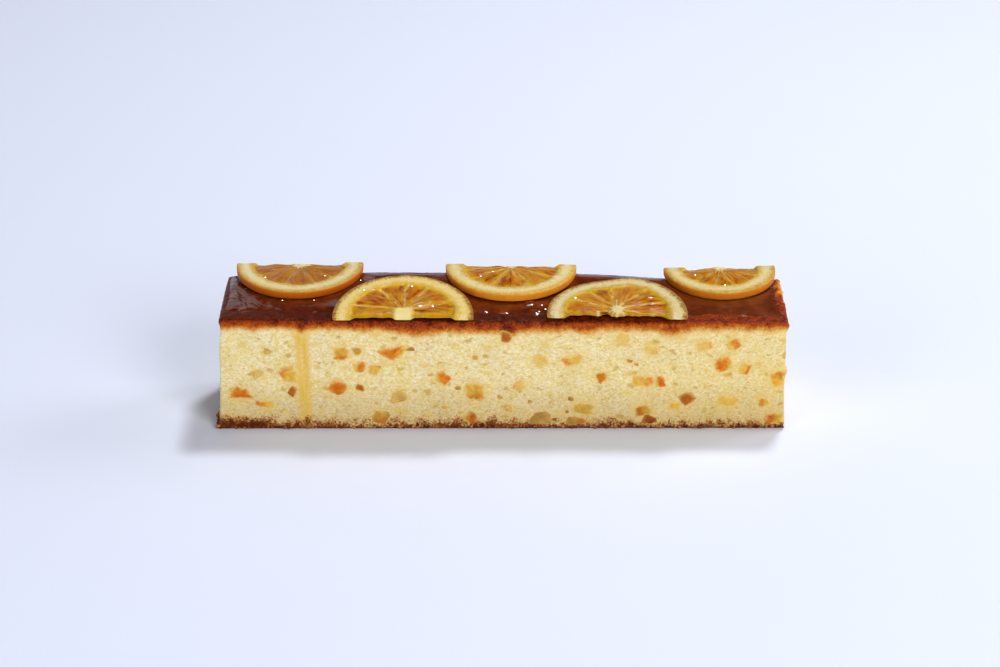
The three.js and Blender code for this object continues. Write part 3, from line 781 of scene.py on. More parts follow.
# How far the straight edge lies past the middle of the round, and whether it is at the back; tilt and
# turn in degrees; how far the round is flattened on its left
SLICES = {
    "orange_slice_1": {"past": 1.6, "back": True, "tilt": 1.2, "turn": 1.0, "flat": 0.0},
    "orange_slice_2": {"past": 4.2, "back": False, "tilt": 4.2, "turn": 0.0, "flat": 0.0},
    "orange_slice_3": {"past": 1.8, "back": True, "tilt": 1.2, "turn": -1.0, "flat": 0.0},
    "orange_slice_4": {"past": 4.0, "back": False, "tilt": 2.8, "turn": -1.5, "flat": 0.125},
    "orange_slice_5": {"past": 1.8, "back": True, "tilt": 1.4, "turn": 2.5, "flat": 0.0},
}
# How torn the flesh is at the straight edge; how yellow the pith is, how grey, and how brown its outer
# edge; how deep the colours of flesh and zest are; and how plainly the membranes show
LOOKS = {
    "orange_slice_1": {"torn": 0.6, "yellow": 0.0, "grey": 0.4, "brown": 0.2, "deep": 1.0, "veined": 0.5},
    "orange_slice_2": {"torn": 0.6, "yellow": 0.8, "grey": 0.0, "brown": 0.95, "deep": 0.5, "veined": 0.9},
    "orange_slice_3": {"torn": 0.9, "yellow": 0.1, "grey": 0.15, "brown": 0.1, "deep": 0.3, "veined": 0.4},
    "orange_slice_4": {"torn": 1.3, "yellow": 0.1, "grey": 0.75, "brown": 0.85, "deep": 0.5, "veined": 1.0},
    "orange_slice_5": {"torn": 0.6, "yellow": 0.3, "grey": 0.5, "brown": 0.25, "deep": 0.65, "veined": 0.6},
}
# Half the core's width, its squareness, how far in from the straight edge it lies, how firmly it keeps
# the ring's height from 0 to 1, and how far it swells
CORES = {
    "orange_slice_1": {"half": 2.8, "square": 2, "in": 0.6, "firm": 0.4, "rise": 0.2},
    "orange_slice_2": {"half": 3.7, "square": 4, "in": 2.1, "firm": 0.9, "rise": 0.0},
    "orange_slice_3": {"half": 1.2, "square": 2, "in": 0.8, "firm": 0.3, "rise": 0.4},
    "orange_slice_4": {"half": 2.3, "square": 2, "in": 3.6, "firm": 0.5, "rise": 0.0},
    "orange_slice_5": {"half": 2.0, "square": 2, "in": 1.2, "firm": 0.4, "rise": 1.1},
}
CORE_EDGE = {"soft": 1.2, "ragged": 1.1, "rays": 1.4, "ray_half": 0.9}  # rays run out along the membranes
GAPS = {"orange_slice_4": {"along": -5.6, "half": 1.8, "deep": 3.6}}  # where flesh broke out of the edge
WHOLE = {"along": 0.0, "half": 1.0, "deep": 0.0}
# Bits of pith left of a gap: how far left and in, how flat, how ragged and how broad, core and fringe
BITS = {"left": 2.4, "in": 1.6, "flat": 1.3, "ragged": 1.4, "grain": 1.2, "half": (0.6, 2.6)}
EDGE_TEARS = [(0.5, 4.5, 27), (0.35, 1.6, 28)]
RIPPLE = [(0.6, 6, 21), (0.35, 2.2, 26)]
for name, slice_ in SLICES.items():
    low, high = (np.array(corner) / MM - BAR_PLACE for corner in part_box(name))
    slice_["radius"] = (high[0] - low[0]) / 2
    turned_out = slice_["radius"] * abs(math.sin(math.radians(slice_["turn"])))
    inward = slice_["past"] + turned_out
    middle_y = high[1] - inward if slice_["back"] else low[1] + inward
    slice_["middle"] = np.array([(low[0] + high[0]) / 2, middle_y, 0])
    slice_["bottom"] = low[2]


def fullness(slice_, leftward):
    """The share of its full reach that a slice's round has, so far to the left in shares of its radius."""
    return 1 - slice_["flat"] * ease(leftward, *FLAT_SIDE)


def slice_outline(slice_, look, core, gap, seed):
    """Once round a slice from the right end of its straight edge: half an ellipse, widest at that edge,
    then back along the edge, which is torn in by noise where there is flesh."""
    radius, past = slice_["radius"], slice_["past"]
    angle = np.linspace(0, math.pi, SLICE_STEPS["arc"] + 1)
    along = np.linspace(-radius, radius, SLICE_STEPS["edge"] + 1)[1:-1]
    off_core = blend(1, ease(np.abs(along), core["half"], core["half"] + 1.5), core["firm"])
    flesh = ease(radius - RING - np.abs(along), -0.5, 1.5) * off_core
    line = np.stack([along, 0 * along, 0 * along + 17 * seed], axis=-1)
    ragged = np.clip(0.65 + layered_noise(line, EDGE_TEARS), 0, None)
    broken = gap["deep"] * bell(along, gap["along"], gap["half"])
    rise = (radius + past) * fullness(slice_, -np.cos(angle))
    arc = np.stack([radius * np.cos(angle), rise * np.sin(angle) - past])
    return np.concatenate([arc, np.stack([along, flesh * (look["torn"] * ragged + broken) - past])], axis=1)


def slice_surface(slice_, look, core, gap, seed):
    """The slice's section, carried from the middle of its underside out round the rim and back over
    its top, with every ray drawn out to the outline; flesh sinks and swells between its membranes."""
    radius, past = slice_["radius"], slice_["past"]
    outline = slice_outline(slice_, look, core, gap, seed)
    under = np.linspace(0, RIM_FROM, SLICE_STEPS["under"])[1:]
    rim = np.sin(np.linspace(-math.pi / 2, math.pi / 2, SLICE_STEPS["rim"] + 2)[1:-1])
    over = np.linspace(RIM_FROM, 0, SLICE_STEPS["top"])[:-1]
    out = np.concatenate([under, RIM_FROM + (1 - RIM_FROM) * np.sqrt(1 - rim**6), over])[:, None]
    level = np.concatenate([0 * under, 0.5 + 0.5 * rim, 1 + 0 * over])[:, None]
    x, y = out * outline[0], out * outline[1]
    inside = y + past
    far = np.hypot(x, np.where(y > 0, y, 0.6 * y))
    angle = np.arctan2(y, x)
    spots = np.stack([x, y, 0 * x + seed * 31.7], axis=-1)
    ripple = layered_noise(spots, RIPPLE)

    # Segments, with seams between them; the ring outside, and the core in the middle
    wobble = angle + SEAMS["uneven"] * noise(spots, 7, 22) + SEAMS["shift"] * seed
    wobble = wobble + SEAMS["swing"] * np.sin(3 * angle + 2.1 * seed)
    phase = np.arcsin(np.sin(SEGMENTS / 2 * wobble)) * 2 / SEGMENTS
    seam = np.abs(phase) * far
    rise = (radius + past) * fullness(slice_, -np.cos(angle))
    inward = radius * (1 - np.hypot(x / radius, inside / rise))
    broader = PITH["at_edge"] * bell(inside, 0, PITH["near_edge"])
    margin = inward - RING - broader - ripple - PITH["at_seam"] * (1 - ease(seam, 0, PITH["near_seam"]))
    ring = ease(-margin, -EDGE_BLEND, 0)
    square = core["square"]
    off_core = (np.abs(x) ** square + np.abs(inside - core["in"]) ** square) ** (1 / square)
    rayed = (square < 3) * CORE_EDGE["rays"] * (1 - ease(seam, 0, CORE_EDGE["ray_half"]))
    past_core = off_core - core["half"] + CORE_EDGE["ragged"] * ripple - rayed
    heart = 1 - ease(past_core, -CORE_EDGE["soft"], CORE_EDGE["soft"])
    if gap["deep"]:
        off_bits = np.hypot(x - gap["along"] + BITS["left"], (inside - BITS["in"]) * BITS["flat"])
        off_bits = off_bits + BITS["ragged"] * ripple + BITS["grain"] * noise(spots, 1.3, 46)
        heart = np.maximum(heart, 0.9 * (1 - ease(off_bits, *BITS["half"])))
    firm = np.maximum(ring, heart)
    held = np.maximum(ring, core["firm"] * heart)

    # Heights: pillowed flesh with its juice sacs, worn down by the straight edge, and the firm parts
    swell = np.abs(np.sin(SEGMENTS / 2 * wobble)) * np.sin(math.pi * np.clip(far / (radius - RING), 0, 1))
    streak = np.stack([angle / SAC["wide"], far / SAC["long"], 0 * far + seed * 7.3], axis=-1)
    sacs = SAC["high"] * noise(streak, 1.0, 23) + SAC["fine"] * noise(streak * [2.3, 1.5, 1], 1.0, 24)
    worn = WORN["least"] + WORN["torn"] * look["torn"] * (0.5 + noise(spots * [1, 0.3, 1], 5, 30))
    worn = worn * bell(inside, 0, WORN["reach"])
    flesh_top = np.maximum(SLICE_THICK - FLESH_SUNK + PILLOW * swell + sacs - worn, FLESH_RAISED + 0.4)
    lump = core["rise"] * bell(off_core, 0, core["half"] + 1.5) * (0.8 + 0.5 * noise(spots, 2.6, 29))
    top = blend(flesh_top, SLICE_THICK + 0.08 * noise(spots, 4, 25), held) + lump
    z = blend((1 - held) * FLESH_RAISED, top, level)
    on_arc = np.arange(outline.shape[1]) <= SLICE_STEPS["arc"]
    side = ease(1 - np.abs(2 * level - 1), 0, 0.35) * (out > 0.96)
    values = {
        "firm": firm,
        "core": heart,
        "inward": inward,
        "margin": margin,
        "inside": inside,
        "rind": on_arc * side,
        "cut": ~on_arc * side,
        "low": (1 - level) * np.ones_like(far),
        "seam": seam,
        "tone": chance(np.floor(wobble * SEGMENTS / (2 * math.pi)), seed),
        **{key: 0 * far + look[key] for key in ("yellow", "grey", "brown", "deep", "veined")},
    }
    return np.stack([x, y, z], axis=-1), values, streak


def candied_orange():
    """Candied orange: glassy amber flesh streaked by its juice sacs, pale half-clear pith, and an oily,
    stippled orange zest; all of it glossy with syrup. Its patterns are in millimetres of the slice."""
    material, tree = new_material("candied_orange")
    place, streak = (
        add(tree, "Attribute", None, "Vector", attribute_name=name) for name in ("place", "streak")
    )
    firm, core, inward, margin, inside, rind, cut, low, seam, segment = (
        add(tree, "Attribute", None, "Fac", attribute_name=name)
        for name in ("firm", "core", "inward", "margin", "inside", "rind", "cut", "low", "seam", "tone")
    )
    yellow, grey, brown, deep, veined = (
        add(tree, "Attribute", None, "Fac", attribute_name=name)
        for name in ("yellow", "grey", "brown", "deep", "veined")
    )
    fine_streak = add(tree, "Mapping", {"Vector": streak, "Scale": (2.6, 0.7, 1.0)})
    mottle, field, stipple, fibres, streaks = (
        add(tree, "TexNoise", {"Vector": way, "Scale": 1 / size, "Detail": detail, "Roughness": rough})
        for way, size, detail, rough in [
            (place, 2.5, 4.0, 0.5),
            (place, 6.0, 2.0, 0.5),
            (place, 0.7, 2.0, 0.5),
            (fine_streak, 1.0, 2.0, 0.5),
            (streak, 1.0, 2.0, 0.55),
        ]
    )

    # The flesh: amber sacs, paler by segment and in clearer fields, with pale threads and membranes,
    # yellow where it meets the ring and at the straight edge, and shaded on its cut side
    blotched = add(tree, "MapRange", {0: mottle, 1: 0.3, 2: 0.7, 3: -1.6, 4: 1.6})
    least = add(tree, "Math", {0: margin, 1: inside}, operation="MINIMUM")
    off_edge = add(tree, "Math", {0: least, 1: blotched}, operation="ADD")
    nearest = add(tree, "Math", {0: seam, 1: least}, operation="MINIMUM")
    off_skin = add(tree, "Math", {0: blotched, 1: 0.4, 2: nearest}, operation="MULTIPLY_ADD")
    petal = add(tree, "MapRange", {0: off_skin, 1: 0.0, 2: 4.5})
    petal_stops = [(0.0, "#d6a63e"), (0.2, "#d0921e"), (0.5, "#c67a0a"), (1.0, "#bc6a06")]
    juicy = add(tree, "ValToRGB", {"Fac": petal}, stops=petal_stops)
    streak_stops = [(0.34, "#b27c3c"), (0.46, "#e4cda4"), (0.56, "#ffffff")]
    striped = add(tree, "ValToRGB", {"Fac": streaks}, stops=streak_stops)
    flesh = add(tree, "Mix", {0: 1.0, 6: juicy, 7: striped}, **SHADES)
    fibre = add(tree, "Math", {0: fibres, 1: 0.5}, operation="SUBTRACT")
    off_thread = add(tree, "Math", {0: fibre}, operation="ABSOLUTE")
    seen = add(tree, "MapRange", {0: mottle, 1: 0.4, 2: 0.6, 3: veined, 4: 0.05})
    breadth = add(tree, "MapRange", {0: field, 1: 0.4, 2: 0.6, 3: 0.3, 4: 1.0})
    for tone, *span in [
        ("#d2963a", segment, 0.5, 1.0, 0.0, 0.35),
        ("#b48a12", field, 0.5, 0.66, 0.0, 0.45),
        ("#d9a952", off_thread, 0.0, 0.03, 0.2, 0.0),
        ("#cf9c14", off_edge, 0.2, 2.6, 0.85, 0.0),
        ("#e0be74", seam, 0.0, breadth, seen, 0.0),
        ("#9c5a1c", deep, 0.5, 1.0, 0.0, 0.55),
        ("#a06a10", cut, 0.0, 1.0, 0.0, 0.4),
    ]:
        share = add(tree, "MapRange", dict(enumerate(span)))
        flesh = add(tree, "Mix", {0: share, 6: flesh, 7: tone}, **COLOURS)

    # The ring: golden under the zest, then cream, and yellow again by the flesh; its edge is stippled
    stippled = add(tree, "MapRange", {0: stipple, 1: 0.35, 2: 0.65, 3: -0.8, 4: 0.8})
    wavering = add(tree, "MapRange", {0: mottle, 1: 0.3, 2: 0.7, 3: -0.7, 4: 0.7})
    wavy = add(tree, "Math", {0: inward, 1: wavering}, operation="ADD")
    edge = add(tree, "Math", {0: wavy, 1: stippled}, operation="ADD")
    across_ring = add(tree, "MapRange", {0: edge, 1: 0.0, 2: RING})
    cream_stops = [
        (0.0, "#dc9c2c"), (0.1, "#e0ae44"), (0.22, "#e2c068"), (0.38, "#e9d394"),
        (0.56, "#ead9a6"), (0.74, "#e4d09a"), (0.88, "#d9bb6e"), (1.0, "#cca034"),
    ]
    dull_stops = [
        (0.0, "#a07c34"), (0.14, "#b89c54"), (0.3, "#cbb67c"), (0.44, "#d6c698"),
        (0.6, "#dccda6"), (0.76, "#d6c592"), (0.9, "#c9ac50"), (1.0, "#bd9626"),
    ]
    ring = add(tree, "ValToRGB", {"Fac": across_ring}, stops=cream_stops)
    dull = add(tree, "ValToRGB", {"Fac": across_ring}, stops=dull_stops)
    blotchy = add(tree, "MapRange", {0: mottle, 1: 0.44, 2: 0.62, 3: 0.0, 4: 0.25})
    warmth = add(tree, "Math", {0: yellow, 1: 0.45}, operation="MULTIPLY")
    # browner towards the outer edge, by slice
    browned_edge = add(tree, "MapRange", {0: edge, 1: 0.9, 2: 2.6, 3: brown, 4: 0.0})
    white = add(tree, "Mix", {0: grey, 6: "#ead88e", 7: "#dccb94"}, **COLOURS)
    for share, tone in [
        (grey, dull),
        (blotchy, "#cda83c"),
        (warmth, "#e8c03a"),
        (browned_edge, "#8a5a14"),
        (core, white),
    ]:
        ring = add(tree, "Mix", {0: share, 6: ring, 7: tone}, **COLOURS)

    # The zest: orange, deeper or browner by slice, and deepened by painted shade at the foot of its
    # side, most on the deeper slices
    zest_stops = [(0.3, "#dc8e1a"), (0.5, "#e4a028"), (0.7, "#eab03c")]
    zest = add(tree, "ValToRGB", {"Fac": mottle}, stops=zest_stops)
    # painted shade at the foot of the zest's side
    zest_foot_shade = add(tree, "Mix", {0: deep, 6: "#f09418", 7: "#b04a08"}, **COLOURS)
    browner = add(tree, "MapRange", {0: brown, 1: 0.4, 2: 1.0, 3: 0.0, 4: 0.8})
    for share, tone in [(deep, "#cf6a0a"), (browner, "#94601a"), (low, zest_foot_shade)]:
        zest = add(tree, "Mix", {0: share, 6: zest, 7: tone}, **COLOURS)
    inner = add(tree, "Mix", {0: firm, 6: flesh, 7: ring}, **COLOURS)
    colour = add(tree, "Mix", {0: rind, 6: inner, 7: zest}, **COLOURS)

    bumps = add(tree, "Math", {0: streaks, 1: 1.2, 2: stipple}, operation="MULTIPLY_ADD")
    soft = add(tree, "MapRange", {0: firm, 3: 0.5, 4: 0.3})
    strength = add(tree, "MapRange", {0: rind, 3: soft, 4: 0.6})
    relief = add(tree, "Bump", {"Height": bumps, "Strength": strength, "Distance": 0.35 * MM})
    glossy = add(tree, "MapRange", {0: firm, 3: 0.1, 4: 0.3})
    rough = add(tree, "MapRange", {0: rind, 3: glossy, 4: 0.45})
    finish = {
        "Base Color": colour,
        "Roughness": rough,
        "Normal": relief,
        "IOR": 1.45,
        "Specular IOR Level": 0.15,
        "Subsurface Weight": 0.15,
        "Subsurface Radius": (3.0 * MM, 1.5 * MM, 0.6 * MM),
        "Subsurface Scale": 1.0,
    }
    add(tree, "OutputMaterial", {"Surface": add(tree, "BsdfPrincipled", finish)})
    return material


orange_material = candied_orange()
slice_points = []
for seed, (name, slice_) in enumerate(SLICES.items()):
    places, values, streak = slice_surface(slice_, LOOKS[name], CORES[name], GAPS.get(name, WHOLE), seed)
    turn = math.radians(slice_["turn"]) + (math.pi if slice_["back"] else 0)
    laid = np.array(Matrix.Rotation(math.radians(slice_["tilt"]), 3, "X") @ Matrix.Rotation(turn, 3, "Z"))
    poles = [places[0].mean(axis=0), places[-1].mean(axis=0)]
    points = np.concatenate([places.reshape(-1, 3), poles])
    shown = points @ laid.T + slice_["middle"]
    shown[:, 2] += slice_["bottom"] - shown[:, 2].min()
    values = {key: np.append(value, [value[0].mean(), value[-1].mean()]) for key, value in values.items()}
    values["place"] = points + [0, 0, SLICE_GAP * seed]
    values["streak"] = np.concatenate([streak.reshape(-1, 3), [streak[0, 0], streak[-1, 0]]])
    faces = capped_faces(*places.shape[:2])
    half = piece(name + "_candied", shown, faces, orange_material, "candied_orange", **values)
    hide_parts(name)
    slice_points.append(shown)

# The glaze: dark amber jam glaze, brushed over the crust round the slices while hot. It stops short of
# the front edge, climbs the slices' rims a little, and wrinkled as it set at the left end.
GLAZE_STEPS = {"along": 480, "across": 84}
FILM = {"thick": 0.5, "slope": 5.0, "front_slope": 9.0, "sunk": 0.25, "sunk_edge": 2.5, "under": 0.6}
FILM_UNEVEN = [(0.3, 8, 40)]
GLAZE_EDGES = {"left": -122.2, "right": 121.8, "front": GLAZE_FRONT, "back": 22.6}
EDGE_WAVES = {
    "left": [(0.8, 5, 31)],
    "right": [(1.8, 4, 32)],
    "front": [(1.3, 16, 33), (0.6, 5, 34)],
    "back": [(0.4, 7, 35)],
}
DRIP_START = {"reach": 3.5, "half": 5}  # where the run of glaze leaves the top
WAVES = [(0.05, 9, 38), (0.02, 3.5, 39)]
FOLDS = [(1, 2.6, 36), (0.8, 1.3, 37)]
# The folds of the left end: height, slant, how far they are drawn out, and where so much of them fades
WRINKLED = {"high": 0.16, "slant": 0.7, "drawn": 2.2, "fades": [(0.8, -108, -84), (0.2, -84, -60)]}
MENISCUS = {"rise": 0.45, "reach": 1.7}
POOL = {"place": 10.8, "half": 3.4, "slope": 0.43, "reach": 2.8}  # syrup by the third slice
SWEEP = {"high": 0.6, "fall": 7.0, "least": 0.2}  # a swell along the back, where it falls away
SWEEP_PLACES = [(-56, 6), (-27, 6), (34, 9), (62, 9)]  # where that is highest, and how far each way
BEAD = {"rise": 0.4, "in": 2.2, "half": 1.6, "weave": 1.2}  # a thicker line by its front edge
BEAD_BREAKS = [(1, 4.5, 44), (1, 16, 45)]


def outside_slices(x, y):
    """How far a place lies outside the nearest slice: the larger of its distances beyond the round and
    beyond the straight edge, and none under the slice."""
    nearest = np.full(x.shape, np.inf)
    for slice_ in SLICES.values():
        off_x = x - slice_["middle"][0]
        off_y = y - slice_["middle"][1]
        past_edge = (off_y if slice_["back"] else -off_y) - slice_["past"]
        full = fullness(slice_, -off_x / slice_["radius"])
        beyond = np.maximum(np.hypot(off_x, off_y / full) - slice_["radius"], past_edge)
        nearest = np.minimum(nearest, np.maximum(beyond, 0))
    return nearest


def glaze_surface():
    """A sheet over the top between wavy edges: the top's own height less the lip's rounding, a film that
    thins to nothing at the edges, waves and wrinkles, and a rise where it wets a slice."""
    along = np.linspace(0, 1, GLAZE_STEPS["along"])[:, None]
    across = np.linspace(0, 1, GLAZE_STEPS["across"])[None, :]
    breadth = GLAZE_EDGES["back"] - GLAZE_EDGES["front"]
    guide = np.stack(np.broadcast_arrays(LENGTH * (along - 0.5), breadth * across, 0.0), axis=-1)
    lines = np.stack(np.broadcast_arrays(LENGTH * (along - 0.5), 0.0, 0.0), axis=-1)
    ways = {"left": guide[:1], "right": guide[-1:], "front": lines, "back": lines}
    edges = {side: GLAZE_EDGES[side] + layered_noise(way, EDGE_WAVES[side]) for side, way in ways.items()}
    left, right, front, back = edges.values()
    x = blend(left, right, along)
    front = front - DRIP_START["reach"] * bell(x, DRIP["top"], DRIP_START["half"])
    y = blend(front, back, across)
    spots = np.stack([x, y, 0 * x], axis=-1)
    off = outside_slices(x, y)
    inside = np.minimum(np.minimum(x - left, right - x), np.minimum(y - front, back - y))

    film = FILM["thick"] * ease(inside, 0, FILM["slope"]) * ease(y - front, -1, FILM["front_slope"])
    film = film * (0.85 + layered_noise(spots, FILM_UNEVEN))
    film = film - FILM["sunk"] * (1 - ease(inside, 0, FILM["sunk_edge"]))
    over_lip = np.maximum(np.abs(y) - WIDTH / 2 + LIP_ROUND, np.abs(x) - LENGTH / 2 + LIP_ROUND)
    over_lip = np.clip(over_lip, 0, LIP_ROUND)
    drop = LIP_ROUND - np.sqrt(LIP_ROUND**2 - over_lip**2)
    smoothed = sum(share * ease(x, start, stop) for share, start, stop in WRINKLED["fades"])
    wrinkled = WRINKLED["high"] * (1 - smoothed)
    slant = WRINKLED["slant"]
    slanted = np.stack([x + slant * y, (y - slant * x) / WRINKLED["drawn"], 0 * x], axis=-1)
    waves = layered_noise(spots, WAVES) + wrinkled * layered_noise(slanted, FOLDS)

    climbing = MENISCUS["rise"] * (0.8 + 0.5 * noise(spots, 4.5, 43)) * np.exp(-off / MENISCUS["reach"])
    pooled = POOL["slope"] * (1 - ease(np.abs(x - POOL["place"]), POOL["half"] / 3, POOL["half"]))
    pooled = pooled * (1 + 0.15 * noise(spots, 1.6, 48)) * np.clip(POOL["reach"] - off, 0, None)
    wetting = np.maximum(climbing, pooled) * (off > 0) * ease(y - front, 1, 7)
    bead = BEAD["rise"] * bell(y - front, BEAD["in"] + BEAD["weave"] * noise(lines, 9, 47), BEAD["half"])
    bead = bead * ease(layered_noise(spots, BEAD_BREAKS), 0.1, 0.7) * ease(inside, 0, 1) * ease(off, 1.5, 5)
    off_back = back - y
    sweep = np.clip(off_back / SWEEP["fall"], 0, 1) * (1 - ease(off_back, SWEEP["fall"], 3 * SWEEP["fall"]))
    swollen = SWEEP["least"] + sum(bell(x, middle, half) for middle, half in SWEEP_PLACES)
    sweep = SWEEP["high"] * sweep * swollen
    z = top_height(x, y) - drop + film + sweep + bead + ease(inside, 0, 3) * (waves + wetting)
    # painted highlight: a pale line just behind the front edge, broken up along it
    line = bell(y - front, 0.9, 0.5) * ease(noise(spots, 14, 42), -0.3, 0.3)
    return np.stack([x, y, z], axis=-1), {"thin": 1 - ease(inside, 0.2, 2.5), "line": line}


def grid_faces(rows, columns):
    """Faces of an open grid of points, rows by columns, that look up where both run onwards."""
    k = np.arange(columns - 1)
    first = np.arange(rows - 1)[:, None] * columns
    quads = np.stack([first + k, first + columns + k, first + columns + k + 1, first + k + 1], axis=-1)
    return [quads.reshape(-1, 4)]


def jam_glaze():
    """Jam glaze over brown crust: a clear amber film, so deep red-brown with the crust's blotches in it,
    darker where it is thick and duller at the right, with a pale line by its front edge that is a
    painted highlight, and as glossy as varnish."""
    material, tree = new_material("amber_jam_glaze")
    place = add(tree, "TexCoord", out="Object")
    along = add(tree, "SeparateXYZ", {"Vector": place}, "X")
    thin, line = (add(tree, "Attribute", None, "Fac", attribute_name=name) for name in ("thin", "line"))
    blotch, speck, fine_wave = (
        add(
            tree,
            "TexNoise",
            {"Vector": place, "Scale": 1 / (size * MM), "Detail": detail, "Roughness": rough},
        )
        for size, detail, rough in [(7, 5.0, 0.6), (1.1, 2.0, 0.5), (2.5, 2.0, 0.5)]
    )
    amber_stops = [(0.3, "#4a1604"), (0.5, "#682406"), (0.7, "#84380c")]
    amber = add(tree, "ValToRGB", {"Fac": blotch}, stops=amber_stops)
    dotted = add(tree, "MapRange", {0: speck, 1: 0.55, 2: 0.75, 3: 0.0, 4: 0.35})
    thicker = add(tree, "MapRange", {0: along, 1: -40 * MM, 2: -110 * MM, 3: 0.0, 4: 0.5})
    duller = add(tree, "MapRange", {0: along, 1: 50 * MM, 2: 100 * MM, 3: 0.0, 4: 0.3})
    for share, tone in [
        (dotted, "#35120a"),
        (thicker, "#3c1004"),
        (duller, "#663612"),
        (thin, "#5a1f08"),
        # painted highlight along the front edge
        (line, "#9a5a3c"),
    ]:
        amber = add(tree, "Mix", {0: share, 6: amber, 7: tone}, **COLOURS)
    relief = add(tree, "Bump", {"Height": fine_wave, "Strength": 0.15, "Distance": 0.3 * MM})
    patchy = add(tree, "MapRange", {0: blotch, 1: 0.3, 2: 0.7, 3: 0.09, 4: 0.2})
    drier = add(tree, "MapRange", {0: along, 1: 50 * MM, 2: 100 * MM, 3: 0.0, 4: 0.05})
    rough = add(tree, "Math", {0: patchy, 1: drier}, operation="ADD")
    finish = {"Base Color": amber, "Roughness": rough, "Normal": relief, "IOR": 1.46}
    add(tree, "OutputMaterial", {"Surface": add(tree, "BsdfPrincipled", finish)})
    return material


glaze_points, glaze_values = glaze_surface()
glaze_faces = grid_faces(*glaze_points.shape[:2])
glaze = piece("glaze", glaze_points, glaze_faces, jam_glaze(), "glaze", **glaze_values)
film = glaze.modifiers.new("film", "SOLIDIFY")
film.thickness = FILM["under"] * MM
film.offset = -1
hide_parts("cake")

# The syrup drops: beads of clear syrup that stayed on the slices and by their rims, each run out to a
# flat face at its front.
DROP_SECTION = np.array([1.0, 0.85, 0.68, 0.5, 0.3, 0.12])
DROP_STEPS = 14
DROP_SHAPE = {"wide": 0.62, "deep": 0.45, "dome": 0.22, "face": 0.13, "root": -0.3}  # shares of its size
# The slopes of its face to the front and to the right, and how far along that one loses a whole slope
DROP_LEAN = {"front": 0.404, "right": 0.16, "turning": 850}
DROP_REACH = 0.9  # how far round it the ground is felt for
# Along, across, size, how far drawn out along, and whether it lies on a slice or on the glaze
DROPS = [
    (-105.3, 9.1, 1.0, 1.0, True),
    (-78.9, 10.6, 0.9, 1.0, True),
    (-61.1, -4.0, 1.1, 1.0, True),
    (-40.4, 0.1, 1.2, 1.0, True),
    (-30.8, -17.7, 1.1, 1.3, True),
    (-36.5, -17.0, 1.2, 1.8, True),
    (-52.6, -21.4, 0.9, 1.0, True),
    (-5.1, 15.3, 1.2, 1.0, True),
    (-10.3, 11.0, 1.0, 1.0, True),
    (63.4, -9.3, 1.1, 2.0, True),
    (31.1, -8.9, 1.1, 1.0, True),
    (48.8, -12.3, 0.9, 1.0, True),
    (67.8, -21.2, 0.9, 1.0, True),
    (84.9, 16.0, 1.0, 1.0, True),
    (97.4, 6.4, 1.0, 1.0, True),
    (-96.6, -7.0, 1.0, 2.4, False),
    (-87.9, -6.4, 0.8, 1.8, False),
    (-82.9, -6.6, 0.8, 1.4, False),
    (-63.4, 12.0, 1.0, 1.0, False),
    (22.1, 0.0, 1.9, 1.2, False),
    (16.5, -9.5, 1.0, 1.0, False),
    (17.8, -12.7, 1.2, 1.0, False),
    (15.2, -14.6, 0.9, 1.0, False),
    (102.6, -1.4, 0.9, 2.6, False),
    (106.3, -0.2, 0.8, 2.0, False),
]


def drop_surface(x, y, size, drawn, on_slice):
    """A bead on the slice or the glaze there: an oval dome, cut down by a plane that leans to the front
    and a little to the right."""
    tops = np.concatenate(slice_points) if on_slice else glaze_points.reshape(-1, 3)
    near = tops[np.hypot(tops[:, 0] - x, tops[:, 1] - y) < DROP_REACH, 2]
    ground = near[near > near.max() - 1].mean()
    angle = np.linspace(0, 2 * math.pi, DROP_STEPS, endpoint=False)
    share = DROP_SECTION[:, None]
    right = DROP_SHAPE["wide"] * size * drawn * np.append(share * np.cos(angle), [0, 0])
    back = DROP_SHAPE["deep"] * size * np.append(share * np.sin(angle), [0, 0])
    dome = DROP_SHAPE["dome"] * size * (1 - np.append(share + 0 * angle, [1, 0]) ** 2)
    lean_right = DROP_LEAN["right"] - x / DROP_LEAN["turning"]
    face = DROP_SHAPE["face"] * size - lean_right * right + DROP_LEAN["front"] * back
    up = np.minimum(dome, face)
    up[-2] = DROP_SHAPE["root"] * size
    return np.stack([x + right, y + back, ground + up], axis=-1)


def clear_syrup():
    """Sugar syrup, clear and as glossy as glass, so as amber or as dark as what lies under it."""
    material, tree = new_material("clear_syrup")
    pale = add(tree, "Attribute", None, "Fac", attribute_name="pale")
    colour = add(tree, "Mix", {0: pale, 6: "#5a2008", 7: "#cc9030"}, **COLOURS)
    finish = {"Base Color": colour, "Roughness": 0.12, "IOR": 1.46}
    add(tree, "OutputMaterial", {"Surface": add(tree, "BsdfPrincipled", finish)})
    return material


drop_points = np.array([drop_surface(*drop) for drop in DROPS])
drop_faces = copied_faces(capped_faces(len(DROP_SECTION), DROP_STEPS), drop_points)
drop_pale = np.repeat([1.0 * drop[-1] for drop in DROPS], drop_points.shape[1])
piece("syrup_drops", drop_points, drop_faces, clear_syrup(), "glaze", pale=drop_pale)

# The crumbs: dry, toasted bits of the torn foot, from gold to nearly black. They came loose as the cake
# left its tin, and still cling to its foot all the way round.
CRUMB_COUNT = 420
CRUMB_SIZES = (0.25, 0.8)
CRUMB_STRETCH = (0.7, 1.3)
CRUMB_STEPS = (5, 7)
CRUMB_ROW = 2  # the bar's row of points that they cling to
CRUMB_CLIMB = 2.2
CRUMB_LIFT = 1.4  # least height of its middle, in sizes
CRUMB_ROUGH = [(0.3, 0.6, 41)]
CRUMB_GAP = 5.0  # how far apart the crumbs lie in that noise


